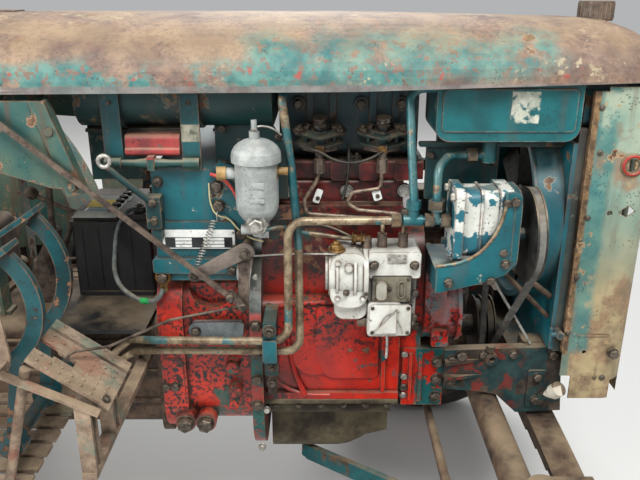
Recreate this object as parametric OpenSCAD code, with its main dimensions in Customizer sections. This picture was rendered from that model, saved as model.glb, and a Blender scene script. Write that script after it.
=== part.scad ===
/* [Running gear] */
// Distance between the front and the rear axle
wheelbase = 1646; // [1560:1:1720]
// Radius of a front tyre
front_r = 325; // [305:1:345]
// Width of a front tyre
front_w = 124; // [110:1:140]
// Radius of a front rim at its bead seat
front_rim_r = 203; // [195:1:212]
// Radius of a rear tyre to the tips of its lugs
rear_r = 560; // [535:1:580]
// Width of a rear tyre
rear_w = 214; // [190:1:230]
// Radius of a rear rim at its bead seat
rear_rim_r = 305; // [290:1:318]
// Number of lugs on each half of a rear tyre
lug_count = 16; // [12:4:20]
// Height of a lug
lug_h = 24; // [16:1:28]
// Distance between the middles of the front tyres
front_track = 1280; // [1260:1:1320]
// Distance between the middles of the rear tyres
rear_track = 1256; // [1240:1:1290]

/* [Front axle] */
// Diameter of the front axle tube
axle_d = 57; // [48:1:62]
// Height of the front axle tube above the ground
axle_z = 515; // [510:1:520]
// Distance from a kingpin to the middle of its tyre
kingpin_offset = 102; // [96:1:108]
// Radius of a kingpin
kingpin_r = 17; // [14:1:20]
// Radial running clearance of every pin in its bore
run_clear = 0.05; // [0.03:0.01:0.08]
// Radius of a front stub axle
stub_r = 15; // [12:1:18]
// Length of the steering arms behind the kingpins
arm_l = 112; // [100:1:120]
// Diameter of the tie rod
tie_d = 18; // [14:1:22]

/* [Bonnet] */
// Half width of the bonnet at its rear edge
hood_rear_w = 270; // [262:1:280]
// Half width of the bonnet at its front
hood_front_w = 212; // [208:1:220]
// Height of the bonnet's lower edge above the ground
hood_edge_z = 1172; // [1168:1:1180]
// Height of the crown above the ground
hood_top_z = 1293; // [1286:1:1300]
// Thickness of the sheet metal
sheet_t = 3; // [2:0.5:4]
// Radius of the bonnet's hinge pin
hinge_r = 4; // [3:0.5:5]

/* [Engine] */
// Distance between the two cylinders
bore_pitch = 116; // [112:1:120]
// Half width of the crankcase
block_w = 170; // [160:1:176]
// Height of the crankshaft above the ground
crank_z = 620; // [610:1:630]
// Diameter of the fuel filter's cap
filter_d = 86; // [80:1:92]
// Diameter of the hydraulic pump's pulley
pulley_d = 170; // [150:1:180]
// Outer diameter of the hydraulic pipes
pipe_d = 15; // [12:1:16]
// Number of blades of the fan
fan_blades = 6; // [4:1:8]

/* [Driver's place] */
// Diameter of the steering wheel
wheel_d = 400; // [380:1:420]
// Width of the seat pan
seat_w = 430; // [400:1:450]
// Height of the seat's rim above the ground
seat_z = 960; // [940:1:990]
// Distance from the tips of the rear lugs to the inside of the fender
fender_gap = 50; // [45:1:62]
// Width of a rear fender
fender_w = 250; // [235:1:256]

/* [Rear] */
// Radius of the hole in the drawbar
hitch_r = 14; // [11:1:16]
// Radius of the power take-off shaft
pto_r = 17; // [14:1:19]

/* [Hidden] */
$fn = 48;
rear_x = -(wheelbase + front_r - rear_r) / 2;
front_x = rear_x + wheelbase;
eng_x = front_x - 346;
front_y = front_track / 2;
rear_y = rear_track / 2;
king_y = front_y - kingpin_offset;
fender_r = rear_r + fender_gap;
tyre_fn = 36;
hinge_x = eng_x - 644;
hinge_z = hood_top_z + 12;
arm_z = 440;
tie_z = 473;
drag_z = 672;

teal = [0.08, 0.49, 0.51];
dark_teal = [0.06, 0.29, 0.29];
pale_teal = [0.37, 0.63, 0.65];
red = [0.84, 0.24, 0.18];
steel = [0.6, 0.58, 0.52];
rust = [0.43, 0.35, 0.31];
cream = [0.88, 0.87, 0.83];
black = [0.07, 0.07, 0.07];

// A block between two corners
module slab(x0, x1, y0, y1, z0, z1) {
    translate([x0, y0, z0]) cube([x1 - x0, y1 - y0, z1 - z0]);
}

// Cylinders along the three axes
module x_cyl(x0, x1, y, z, r) {
    translate([x0, y, z]) rotate([0, 90, 0]) cylinder(h = x1 - x0, r = r);
}
module y_cyl(x, y0, y1, z, r) {
    translate([x, y0, z]) rotate([-90, 0, 0]) cylinder(h = y1 - y0, r = r);
}
module z_cyl(x, y, z0, z1, r) {
    translate([x, y, z0]) cylinder(h = z1 - z0, r = r);
}

// A round rod between two points
module rod(p, q, r) {
    d = q - p;
    len = norm(d);
    translate(p)
        rotate([0, acos(d[2] / len), atan2(d[1], d[0])])
            cylinder(h = len, r = r);
}

// A round tube through a list of points, each corner rounded to the bend radius
function unit(v) = v / norm(v);
function corner_trim(p, q, s, bend) = bend * tan(acos(unit(q - p) * unit(s - q)) / 2);
module bent_tube(points, r, bend) {
    last = len(points) - 1;
    lap = 0.6;
    trims = [for (i = [0 : last])
        i == 0 || i == last ? 0 : corner_trim(points[i - 1], points[i], points[i + 1], bend)];
    for (i = [0 : last - 1]) let (u = unit(points[i + 1] - points[i]))
        rod(points[i] + max(trims[i] - lap, 0) * u, points[i + 1] - max(trims[i + 1] - lap, 0) * u, r);
    for (i = [1 : last - 1]) tube_corner(points[i - 1], points[i], points[i + 1], r, bend, trims[i]);
}
module tube_corner(p, q, s, r, bend, trim) {
    u = unit(q - p);
    v = unit(s - q);
    inward = unit(v - (u * v) * u);
    normal = cross(-inward, u);
    centre = q - trim * u + bend * inward;
    multmatrix([[-inward[0], u[0], normal[0], centre[0]], [-inward[1], u[1], normal[1], centre[1]],
        [-inward[2], u[2], normal[2], centre[2]], [0, 0, 0, 1]])
        rotate_extrude(angle = acos(u * v)) translate([bend, 0]) circle(r = r + 0.2);
}

// A flat bar with round ends between two points of X and Z
module flat_bar(a, b, w, y0, y1) {
    side = [a[1] - b[1], b[0] - a[0]] / norm(b - a) * w / 2;
    y_plate([a + side, b + side, b - side, a - side], y0, y1);
    for (p = [a, b]) y_cyl(p[0], y0, y1, p[1], w / 2);
}

// A flat rectangle with round corners, its middle at the origin
module round_rect(w, h, r) {
    square([w - 2 * r, h], center = true);
    square([w, h - 2 * r], center = true);
    for (x = [-1, 1], y = [-1, 1])
        translate([x * (w / 2 - r), y * (h / 2 - r)]) circle(r = r);
}

// A block along X whose outline in Y and Z has round corners
module x_rounded(x0, x1, y0, y1, z0, z1, r) {
    translate([x0, (y0 + y1) / 2, (z0 + z1) / 2])
        rotate([90, 0, 90])
            linear_extrude(height = x1 - x0)
                round_rect(y1 - y0, z1 - z0, r);
}

// A block along Y whose outline in X and Z has round corners
module y_rounded(x0, x1, y0, y1, z0, z1, r) {
    translate([(x0 + x1) / 2, y1, (z0 + z1) / 2])
        rotate([90, 0, 0])
            linear_extrude(height = y1 - y0)
                round_rect(x1 - x0, z1 - z0, r);
}

// A block along Z whose outline in X and Y has round corners
module z_rounded(x0, x1, y0, y1, z0, z1, r) {
    translate([(x0 + x1) / 2, (y0 + y1) / 2, z0])
        linear_extrude(height = z1 - z0)
            round_rect(x1 - x0, y1 - y0, r);
}

// A prism along Y from an outline of X and Z points
module y_plate(outline, y0, y1) {
    translate([0, y1, 0]) rotate([90, 0, 0]) linear_extrude(height = y1 - y0) polygon(outline);
}

// A prism along X from an outline of Y and Z points
module x_plate(outline, x0, x1) {
    translate([x0, 0, 0]) rotate([90, 0, 90]) linear_extrude(height = x1 - x0) polygon(outline);
}

// A hexagonal head that looks along -Y
module side_bolt(x, y, z, r) {
    translate([x, y, z]) rotate([90, 0, 0]) cylinder(h = r, r = r, $fn = 6);
}

// The mirrored pair of a piece
module both() {
    children();
    mirror([0, 1, 0]) children();
}

// Half of the arched outline of the bonnet: Y against Z, from the edge to the crown
arch_power = 2.4;
function arch(w, z0, z1, n = 14) = [
    for (i = [0 : n])
        let (a = 90 * i / n)
            [w * pow(cos(a), 2 / arch_power), z0 + (z1 - z0) * pow(sin(a), 2 / arch_power)]
];
function arch_outline(w, z0, z1, below) = let (half = arch(w, z0, z1)) concat(
    [[w, z0 - below]],
    half,
    [for (i = [len(half) - 2 : -1 : 0]) [-half[i][0], half[i][1]]],
    [[-w, z0 - below]]
);
module arch_slice(x, w, z0, z1, below) {
    x_plate(arch_outline(w, z0, z1, below), x, x + 1);
}

// Gearbox with the rear axle's housing and its two trumpets
gear_w = 128;
gear_z0 = 440;
gear_top = 690;
rear_case_w = 168;
clutch_x0 = eng_x - 315;
module gearbox() {
    case_x0 = rear_x - 190;
    case_x1 = rear_x + 330;
    case_z0 = 392;
    case_z1 = 800;
    trumpet_r = 62;
    trumpet_end = rear_y - 104;
    flange_r = 100;
    color(rust) {
        difference() {
            union() {
                x_rounded(case_x1, clutch_x0, -gear_w, gear_w, gear_z0, gear_top, 34);
                x_rounded(case_x0, case_x1, -rear_case_w, rear_case_w, case_z0, case_z1, 60);
                x_rounded(case_x1, case_x1 + 22, -rear_case_w, rear_case_w, case_z0 + 26, case_z1 - 60, 50);
                x_rounded(clutch_x0 - 20, clutch_x0, -gear_w - 22, gear_w + 22, gear_z0 - 12,
                    gear_top + 22, 40);
                both() {
                    y_cyl(rear_x, rear_case_w, rear_case_w + 24, rear_r, 128);
                    translate([rear_x, rear_case_w + 24, rear_r]) rotate([-90, 0, 0])
                        cylinder(h = trumpet_end - rear_case_w - 24, r1 = 88, r2 = trumpet_r);
                    y_cyl(rear_x, trumpet_end - 34, trumpet_end, rear_r, flange_r);
                }
                for (z = [gear_z0 + 60, gear_z0 + 130, gear_z0 + 200])
                    x_rounded(case_x1, clutch_x0, -gear_w - 7, gear_w + 7, z, z + 12, 5);
                x_cyl(case_x0 - 30, case_x0, 0, rear_r, 74);
                z_cyl(rear_x + 40, 0, case_z1 - 1, case_z1 + 26, 92);
            }
            both() y_cyl(rear_x, rear_case_w + 58, rear_y, rear_r, rear_shaft_r + run_clear);
        }
        x_cyl(case_x0 - 118, case_x0 - 30, 0, rear_r, pto_r);
        for (a = [0 : 60 : 300]) {
            translate([case_x0 - 30, 58 * cos(a), rear_r + 58 * sin(a)])
                rotate([0, -90, 0]) cylinder(h = 8, r = 8, $fn = 6);
        }
        for (x = [clutch_x0 - 150, clutch_x0 - 115]) z_cyl(x, -60, gear_z0 - 14, gear_z0, 12);
    }
}
rear_shaft_r = 24;

// Clutch housing with its bosses, its inspection plate and the engine's flange
flange_x0 = eng_x - 137;
module clutch_housing() {
    x0 = clutch_x0;
    x1 = flange_x0;
    z0 = 457;
    z1 = 815;
    w = 200;
    color(red) {
        difference() {
            union() {
                x_rounded(x0, x0 + 49, -w, w, z0, z1, 80);
                x_rounded(x0 + 49, x1, -w + 14, w - 14, z0 + 10, z1 - 2, 80);
                both() {
                    for (x = [x0 + 42, x0 + 83]) y_cyl(x, 160, w + 8, z0 + 46, 21);
                    for (p = [[142, 173], [145, 118]]) y_cyl(x0 + p[0], 160, w + 4, z0 + p[1], 14);
                    y_rounded(x0 + 66, x0 + 165, w - 15, w - 4, z0 + 236, z0 + 269, 6);
                    y_rounded(x0 + 2, x0 + 44, w - 4, w + 3, z0 + 96, z0 + 190, 10);
                }
            }
            y_cyl(x0 + 105, -w - 1, -w + 40, z1 - 20, 46);
        }
        for (x = [x0 + 78, x0 + 153]) side_bolt(x, -w + 4, z0 + 252, 7);
        for (x = [x0 + 42, x0 + 83]) side_bolt(x, -w - 8, z0 + 46, 12);
    }
    color(steel) difference() {
        x_rounded(x1, x1 + 23.5, -w, w, 400, 850, 110);
        x_cyl(x1 - 1, x1 + 24.5, 0, crank_z, 60);
    }
    color(steel) for (z = [540, 600, 660, 720]) side_bolt(x1 + 12, -w, z, 8);
}

// Housing over the clutch, with a blank plate and a ledge
cover_x0 = eng_x - 304;
cover_x1 = eng_x - 137;
cover_z1 = 1030;
module cover_housing() {
    w = 200;
    z0 = 815;
    color(teal) {
        y_plate([[cover_x0, z0], [cover_x0, cover_z1], [cover_x0 + 114, cover_z1],
            [cover_x0 + 144, cover_z1 - 18],
            [cover_x0 + 164, cover_z1 - 46], [cover_x0 + 170, cover_z1 - 76], [cover_x0 + 173, 890],
            [cover_x1, 872], [cover_x1, z0]], -w, w);
        both() y_rounded(cover_x0 - 8, cover_x1 - 4, w - 10, w + 9, z0 + 17, z0 + 47, 6);
        slab(cover_x0 + 12, cover_x0 + 148, -w - 3, -w + 1, z0 + 78, z0 + 118);
        for (p = [[118, 184], [120, 148], [160, 94], [148, 64]])
            side_bolt(cover_x0 + p[0], -w, z0 + p[1], 8);
    }
    color(red) y_plate([[cover_x0 + 116, cover_z1 + 1], [cover_x0 + 146, cover_z1 - 17],
        [cover_x0 + 166, cover_z1 - 46], [cover_x0 + 175, cover_z1 - 43], [cover_x0 + 152, cover_z1 - 10],
        [cover_x0 + 118, cover_z1 + 9]], -w - 4, -w + 50);
}

// Crankcase, cylinder block and timing case
block_x0 = eng_x - 113.5;
block_x1 = eng_x + 160;
block_z0 = 540;
block_z1 = 950;
upper_w = 140;
head_z0 = 991;
bracket_z = 828;
frame_x0 = eng_x + 252;
module engine_block() {
    plate_x1 = eng_x + 203;
    rib_t = 8;
    timing_x1 = eng_x + 275;
    timing_y = -125;
    timing_z = 737;
    color(red) {
        difference() {
            union() {
                x_rounded(block_x0, block_x1, -block_w, block_w, block_z0, 760, 24);
                x_rounded(block_x0, block_x1, -upper_w, upper_w, 700, block_z1, 22);
                x_rounded(block_x0 + 6, block_x1, -upper_w + 14, upper_w - 14, block_z1 - 30, head_z0, 8);
                x_rounded(block_x1, plate_x1, -block_w + 10, block_w - 10, block_z0, 900, 60);
                y_rounded(block_x0 + 20, block_x1, -upper_w - 12, -upper_w + 10, block_z1 - 30,
                    block_z1 - 2, 8);
                for (x = [block_x0 + 14, block_x1 - 36])
                    slab(x, x + rib_t, -block_w - 6, -block_w + 10, block_z0 + 12, 700);
                y_cyl(eng_x - 10, -block_w - 5, -block_w + 10, 640, 46);
                slab(block_x0, block_x1, -block_w - 8, block_w + 8, block_z0, block_z0 + 14);
            }
            for (x = [-60, 51, 161]) y_cyl(eng_x + x, -upper_w + 8, -upper_w + 18, block_z1 + 20, 15);
        }
        for (x = [-60, 51, 161]) y_cyl(eng_x + x, -upper_w + 15, -upper_w + 22, block_z1 + 20, 14);
        x_cyl(plate_x1, timing_x1, timing_y, timing_z, 72);
        x_cyl(timing_x1 - 8, timing_x1, timing_y, timing_z, 78);
        for (a = [20 : 40 : 340]) translate([timing_x1, timing_y + 71 * cos(a), timing_z + 71 * sin(a)])
            rotate([0, 90, 0]) cylinder(h = 5, r = 5, $fn = 6);
        slab(plate_x1, timing_x1 - 30, -190, -60, 744, bracket_z);
        y_rounded(plate_x1 + 14, plate_x1 + 46, -206, -190, 676, 710, 4);
        x_cyl(plate_x1, timing_x1 - 9, 0, crank_z, 105);
        both() slab(plate_x1 - 35, frame_x0, 60, 165, 518, 650);
        for (z = [540, 580, 620]) side_bolt(frame_x0 - 14, -165, z, 8);
        for (x = [plate_x1 - 22, plate_x1 - 2]) slab(x, x + 6, -171, -160, 530, 640);
    }
}

// Oil pan under the crankcase
module oil_pan() {
    bottom_z = 352;
    deep_w = 105;
    flange_z = block_z0 - 14;
    color(rust) {
        x_rounded(block_x0, block_x1, -block_w - 8, block_w + 8, flange_z, block_z0, 5);
        difference() {
            x_rounded(block_x0 + 8, block_x1 - 12, -deep_w, deep_w, bottom_z, flange_z, 48);
            y_plate([[eng_x + 10, bottom_z - 1], [eng_x + 60, bottom_z + 22], [eng_x + 100, bottom_z + 50],
                [eng_x + 160, bottom_z + 66], [eng_x + 160, bottom_z - 1]], -200, 200);
        }
        x_rounded(block_x0 + 8, block_x1 - 12, -block_w + 14, block_w - 14, flange_z - 40, flange_z, 18);
        z_cyl(eng_x - 80, 0, bottom_z - 10, bottom_z, 14);
        for (x = [block_x0 + 24 : 46 : block_x1 - 10]) z_cyl(x, -block_w - 1, flange_z - 7, flange_z, 6);
    }
}

// Cylinder head with its cover
head_z1 = 1030;
module cylinder_head() {
    x0 = eng_x - 90;
    x1 = eng_x + 196;
    w = 128;
    cover_w = 112;
    cover_top = 1190;
    color(red) {
        x_rounded(x0, x1, -w, w, head_z0, head_z1, 8);
        for (x = [-82, 20, 74, 140]) y_rounded(eng_x + x, eng_x + x + 36, -w - 10, -w + 6, head_z0 + 2,
            head_z1 - 2, 7);
    }
    color(dark_teal) {
        x_rounded(x0 + 14, x1 - 12, -cover_w, cover_w, head_z1, cover_top, 26);
        for (x = [x0 + 66, x0 + 108, x0 + 182, x0 + 224])
            y_rounded(x, x + 12, -cover_w - 7, -cover_w + 8, head_z1 + 70, cover_top - 32, 4);
        for (x = [x0 + 50, x0 + 166, x0 + 240]) y_cyl(x, -cover_w - 8, -cover_w, head_z1 + 104, 13);
    }
    color(black) z_cyl(x0 + 200, 40, cover_top, cover_top + 30, 22);
}

// Two fuel injectors with their flanges, caps and nuts
module injectors() {
    lean = 15;
    seat_y = -112;
    flange_y = seat_y - 24;
    for (i = [0, 1]) translate([eng_x + i * bore_pitch, flange_y, 1072]) {
        color(dark_teal) {
            slab(-14, 14, -6, flange_y * -1 + seat_y, -4, 12);
            rotate([lean, 0, 0]) for (z = [-20, 14]) {
                z_cyl(0, 0, z, z + 8, 17);
                for (s = [-1, 1]) z_cyl(s * 26, 0, z, z + 8, 8);
                translate([0, 0, z]) linear_extrude(height = 8) polygon([[-30, 7], [0, 19], [30, 7],
                    [30, -7], [0, -19], [-30, -7]]);
            }
        }
        color(steel) rotate([lean, 0, 0]) {
            z_cyl(0, 0, -12, 14, 12);
            for (s = [-1, 1]) z_cyl(s * 26, 0, -12, 14, 4);
            for (s = [-1, 1]) translate([s * 26, 0, 22]) cylinder(h = 7, r = 8, $fn = 6);
        }
        color(steel) {
            translate([-1, -22, -58]) cylinder(h = 26, r = 10, $fn = 6);
            z_cyl(-1, -22, -34, -20, 7);
            slab(-9, 7, -22, -6, -24, -10);
        }
        color(black) rotate([lean, 0, 0]) z_cyl(0, 0, 22, 44, 13);
    }
}

// Injection pump with its governor
pump_y = -250;
module injection_pump() {
    x0 = eng_x + 18;
    x1 = eng_x + 183;
    xm = eng_x + 88;
    xr = eng_x + 150;
    color(cream) {
        y_rounded(x0, xm, pump_y, -block_w, 780, 889, 28);
        y_rounded(x0 + 8, xm, pump_y + 12, -block_w, 752, 800, 20);
        y_rounded(xm, x1, pump_y + 4, -block_w, 838, 889, 6);
        y_rounded(xm, xr, pump_y + 10, -block_w, 790, 840, 5);
        y_rounded(xm, xr, pump_y + 2, -block_w, 721, 792, 8);
        y_rounded(xm + 14, xm + 34, pump_y - 5, pump_y + 12, 798, 834, 9);
        y_plate([[xm + 12, 730], [xm + 54, 730], [xm + 54, 778]], pump_y - 5, pump_y + 3);
        y_rounded(xr, x1 - 4, pump_y + 24, -block_w, 730, 840, 8);
        for (z = [760, 800]) y_cyl(x1 - 16, pump_y + 14, pump_y + 26, z, 9);
    }
    color(steel) {
        x_cyl(xm - 18, xm, pump_y + 26, 742, 11);
        for (i = [0, 1]) z_cyl(xm + 26 + i * 38, pump_y + 34, 885, 915, 9);
        y_cyl(x0 + 34, pump_y - 9, pump_y, 862, 7);
        for (p = [[14, 870], [14, 800], [60, 800]]) side_bolt(x0 + p[0], pump_y, p[1], 5);
        for (x = [xm + 10, x1 - 12]) side_bolt(x, pump_y + 4, 864, 6);
    }
}

// Fuel filter with its dome, bowl and fittings
filter_x = eng_x - 109;
filter_y = -250;
module fuel_filter() {
    r = filter_d * 0.435;
    bowl_h = 40;
    dome_h = 30;
    color(steel) {
        translate([filter_x, filter_y, 0]) rotate_extrude() polygon(concat(
            [[0, 944]],
            [for (a = [20 : 14 : 90]) [r * sin(a), 984 - bowl_h * cos(a)]],
            [[r, 1056], [filter_d / 2, 1058], [filter_d / 2, 1068]],
            [for (a = [14 : 15 : 74]) [filter_d / 2 * cos(a), 1068 + dome_h * sin(a)]],
            [[0, 1068 + dome_h]]));
        translate([filter_x, filter_y, 924]) cylinder(h = 22, r = 12, $fn = 6);
        y_cyl(filter_x, filter_y - 30, filter_y, 952, 12);
        z_cyl(filter_x - 2, filter_y, 1097, 1109, 9);
        z_cyl(filter_x - 2, filter_y, 1109, 1128, 5);
        slab(filter_x - 20, filter_x + 14, filter_y + 30, -upper_w, 1056, 1068);
        slab(filter_x - 4, filter_x + 14, -200, -upper_w, 900, 1068);
        x_cyl(filter_x - 52, filter_x - 34, filter_y, 1036, 10);
    }
    color([0.75, 0.6, 0.3]) {
        x_cyl(filter_x - 68, filter_x - 52, filter_y, 1036, 12);
        x_cyl(filter_x + 34, filter_x + 54, filter_y, 1040, 7);
        x_cyl(filter_x - 30, filter_x - 10, filter_y, 934, 9);
    }
}

// Hydraulic pump on its bracket
hyd_y = -240;
hyd_z = 922;
belt_x = eng_x + 373;
module hydraulic_pump() {
    x0 = eng_x + 231;
    x1 = eng_x + 330;
    z0 = bracket_z + 56;
    z1 = 1014;
    arm = [[203, 0], [213, 0], [274, 15], [325, 34], [343, 56], [330, 56], [327, 52], [263, 42], [203, 42]];
    color(cream) {
        x_rounded(x0, x0 + 16, hyd_y - 44, hyd_y + 44, z0, z1, 12);
        x_rounded(x0 + 16, x0 + 44, hyd_y - 38, hyd_y + 38, z0 + 5, z1 - 5, 18);
        x_rounded(x0 + 44, x0 + 48, hyd_y - 41, hyd_y + 41, z0 + 2, z1 - 2, 18);
        x_rounded(x0 + 48, x0 + 76, hyd_y - 38, hyd_y + 38, z0 + 5, z1 - 5, 18);
        x_rounded(x0 + 76, x1, hyd_y - 44, hyd_y + 44, z0, z1, 12);
        for (z = [z0 + 14, z1 - 14], s = [-1, 1])
            translate([x0, hyd_y + s * 32, z]) rotate([0, -90, 0]) cylinder(h = 7, r = 7, $fn = 6);
        for (z = [z0 + 20, z1 - 20]) side_bolt(x1 - 12, hyd_y - 44, z, 6);
    }
    color(steel) x_cyl(x1 + 13, belt_x - 9, hyd_y, hyd_z, 11);
    color(teal) {
        translate([eng_x, 0, bracket_z]) y_plate(arm, hyd_y - 46, hyd_y + 90);
        x_rounded(x1, x1 + 13, hyd_y - 50, hyd_y + 50, z0 - 20, z1 - 2, 30);
    }
}

// Pulleys on crank, fan, dynamo and pump, and the fan
fan_z = 900;
fan_belt_x = belt_x - 22;
fan_x = eng_x + 432;
dyn_y = 214;
dyn_z = 800;
module pulley(x, y, z, r, w) {
    x_cyl(x - w / 2, x - w / 2 + 3, y, z, r);
    x_cyl(x + w / 2 - 3, x + w / 2, y, z, r);
    x_cyl(x - w / 2, x + w / 2, y, z, r - 9);
}
module fan_drive() {
    crank_r = 68;
    fan_r = 168;
    hub_w = 10;
    color(steel) {
        pulley(belt_x, hyd_y, hyd_z, pulley_d / 2, 18);
        x_cyl(belt_x + 9, belt_x + 13, hyd_y, hyd_z, 26);
        pulley(belt_x, 0, crank_z, crank_r, 18);
        pulley(fan_belt_x, 0, crank_z, crank_r, 18);
        x_cyl(fan_belt_x + 9, belt_x - 9, 0, crank_z, 40);
        x_cyl(eng_x + 266, fan_belt_x - 9, 0, crank_z, 24);
        pulley(fan_belt_x, 0, fan_z, 56, 18);
        x_cyl(eng_x + 250, fan_belt_x - 9, 0, fan_z, 22);
        x_cyl(fan_belt_x + 9, fan_x - hub_w, 0, fan_z, 14);
        pulley(fan_belt_x, dyn_y, dyn_z, 42, 18);
        x_cyl(eng_x + 330, fan_belt_x - 9, dyn_y, dyn_z, 12);
    }
    color(teal) x_rounded(eng_x + 203, eng_x + 250, -40, 40, 850, 945, 20);
    color(dark_teal) {
        x_cyl(fan_x - hub_w, fan_x + hub_w, 0, fan_z, 46);
        for (i = [0 : fan_blades - 1]) translate([fan_x, 0, fan_z]) rotate([i * 360 / fan_blades, 0, 0])
            translate([0, 0, 40]) rotate([0, 0, 26]) translate([-1.5, -26, 0]) cube([3, 52, fan_r - 40]);
    }
}

// A belt round two or more pulleys, given by their middles in Y and Z and their radii
module belt_loop(x, middles, radii, w) {
    thick = 8;
    translate([x - w / 2, 0, 0]) rotate([90, 0, 90]) linear_extrude(height = w) difference() {
        hull() for (i = [0 : len(middles) - 1]) translate(middles[i]) circle(r = radii[i] + thick);
        hull() for (i = [0 : len(middles) - 1]) translate(middles[i]) circle(r = radii[i]);
    }
}
module belts() {
    color(black) {
        belt_loop(belt_x, [[hyd_y, hyd_z], [0, crank_z]], [pulley_d / 2 - 8.6, 59.4], 11);
        belt_loop(fan_belt_x, [[0, fan_z], [0, crank_z], [dyn_y, dyn_z]], [47.4, 59.4, 33.4], 11);
    }
}

// Radiator with its fan ring, cap and drain cock
rad_x0 = eng_x + 462;
rad_x1 = eng_x + 498;
cap_x = eng_x + 532;
cap_r = 34;
module radiator() {
    w = 186;
    ring_x0 = eng_x + 398;
    tank_w = 106;
    color(pale_teal) {
        slab(rad_x0, rad_x1, -w, w, frame_top, 1100);
        x_rounded(rad_x0 + 6, rad_x1 + 64, -w + 10, w - 10, 1100, 1168, 18);
        x_rounded(rad_x0 - 4, rad_x1 + 4, -tank_w, tank_w, 612, frame_top, 12);
        difference() {
            union() {
                x_cyl(ring_x0, rad_x0, 0, fan_z, 186);
                x_cyl(ring_x0, ring_x0 + 4, 0, fan_z, 190);
                slab(rad_x0 - 8, rad_x0, -w, w, 660, 1074);
            }
            x_cyl(ring_x0 - 1, rad_x0 + 1, 0, fan_z, 178);
        }
        z_cyl(cap_x, 0, 1168, 1276, 24);
    }
    color(cream) {
        z_cyl(cap_x, 0, 1276, 1312, cap_r - 1.5);
        for (a = [0 : 15 : 345]) translate([cap_x, 0, 0])
            rotate([0, 0, a]) z_cyl(cap_r - 2, 0, 1279, 1309, 2);
    }
    color(steel) {
        y_cyl(rad_x0 + 5, -w - 22, -w, 700, 8);
        x_cyl(rad_x0 - 12, rad_x0 + 5, -w - 14, 700, 5);
        z_cyl(rad_x0 - 12, -w - 14, 686, 714, 3);
    }
}

// Front frame casting that carries the radiator and holds the front axle
frame_w = 170;
frame_top = 656;
module front_frame() {
    x1 = eng_x + 500;
    ribs = [586, 622];
    color(rust) {
        both() {
            difference() {
                y_plate([[frame_x0, 560], [frame_x0, frame_top - 8], [x1 - 20, frame_top],
                    [x1 + 98, frame_top],
                    [x1 + 98, 600], [x1 - 8, 590], [x1, 508], [x1 - 93, 503], [front_x + 18, 545],
                    [front_x - 10, 552]], frame_w - 22, frame_w);
                y_cyl(eng_x + 346, frame_w - 30, frame_w + 13, 632, 6);
            }
            for (z = ribs) translate([0, 0, z]) linear_extrude(height = 7)
                polygon([[frame_x0, frame_w], [frame_x0, frame_w + 16], [frame_x0 + 76, frame_w]]);
            difference() {
                y_cyl(eng_x + 346, frame_w, frame_w + 10, 632, 13);
                y_cyl(eng_x + 346, frame_w - 1, frame_w + 11, 632, 6);
            }
            slab(x1 - 85, x1 + 75, frame_w - 60, frame_w - 22, 632, frame_top);
        }
        slab(eng_x + 412, x1 - 5, -frame_w + 22, frame_w - 22, 556, 600);
        slab(eng_x + 414, x1 + 10, -70, 70, 498, 556);
        translate([eng_x + 342, -frame_w - 6, frame_top - 6]) cylinder(h = 12, r = 9, $fn = 6);
        y_rounded(eng_x + 424, eng_x + 462, -frame_w - 4, -frame_w, 520, 604, 6);
    }
    color(steel) rod([eng_x + 452, -frame_w, 532], [eng_x + 470, -frame_w - 34, 574], 11);
    color(cream) rod([eng_x + 469, -frame_w - 32, 571.5], [eng_x + 475.3, -frame_w - 44, 586.5], 15);
}

// Grille shell in front of the radiator
shell_x0 = eng_x + 500;
shell_x1 = eng_x + 610;
module grille_shell() {
    w = 200;
    z0 = 556;
    z1 = hood_edge_z + 4;
    corner = 46;
    grille_w = 128;
    bars = 9;
    slot_x = shell_x0 + 58;
    color(pale_teal) {
        difference() {
            z_rounded(shell_x0 - corner, shell_x1, -w, w, z0, z1, corner);
            z_rounded(shell_x0 - corner + sheet_t, shell_x1 - sheet_t, -w + sheet_t, w - sheet_t, z0 + 40,
                z1 + 1, corner - sheet_t);
            slab(shell_x0 - corner - 1, shell_x0, -w - 1, w + 1, z0 - 1, z1 + 1);
            slab(shell_x0 - 1, shell_x1 + 1, -grille_w, grille_w, 710, 1130);
            slab(shell_x0 - 1, shell_x1 - sheet_t, -w + sheet_t, w - sheet_t, z0 - 1, z0 + 41);
            slab(slot_x - 4.5, slot_x + 4.5, -w - 1, w + 1, 1030, 1046);
            for (z = [1030, 1046]) y_cyl(slot_x, -w - 1, w + 1, z, 4.5);
            y_plate([[slot_x - 12, 950], [slot_x + 4, 962], [slot_x + 19, 951],
                [slot_x + 3, 940]], -w - 1, w + 1);
            y_cyl(slot_x - 28, -w - 1, w + 1, 948, 5);
            y_cyl(slot_x - 38, -w - 1, w + 1, 661, 4);
        }
        both() difference() {
            y_cyl(slot_x, w, w + 3, 1038, 21);
            y_cyl(slot_x, w - 1, w + 4, 1038, 12);
        }
        both() y_cyl(slot_x + 16, w - 1, w + 6, 662, 8);
        both() slab(shell_x0 + 2, shell_x1 - corner, w, w + 2, 696, 700);
        for (i = [1 : bars]) let (y = -grille_w + 2 * grille_w * i / (bars + 1))
            slab(shell_x1 - sheet_t - 9, shell_x1 - sheet_t, y - 3, y + 3, 700, 1140);
        for (z = [702, 1130]) slab(shell_x1 - sheet_t - 9, shell_x1 - sheet_t, -grille_w - 8,
            grille_w + 8, z, z + 8);
        both() slab(shell_x0 - 24, shell_x0, w - 12, w, 660, z1 - 8);
        both() slab(shell_x0 - 22, shell_x0 + 4, w - 3, w, z0 + 52, 662);
        both() slab(shell_x0, shell_x1 - 40, frame_w, w - sheet_t, 610, 640);
    }
}

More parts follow.
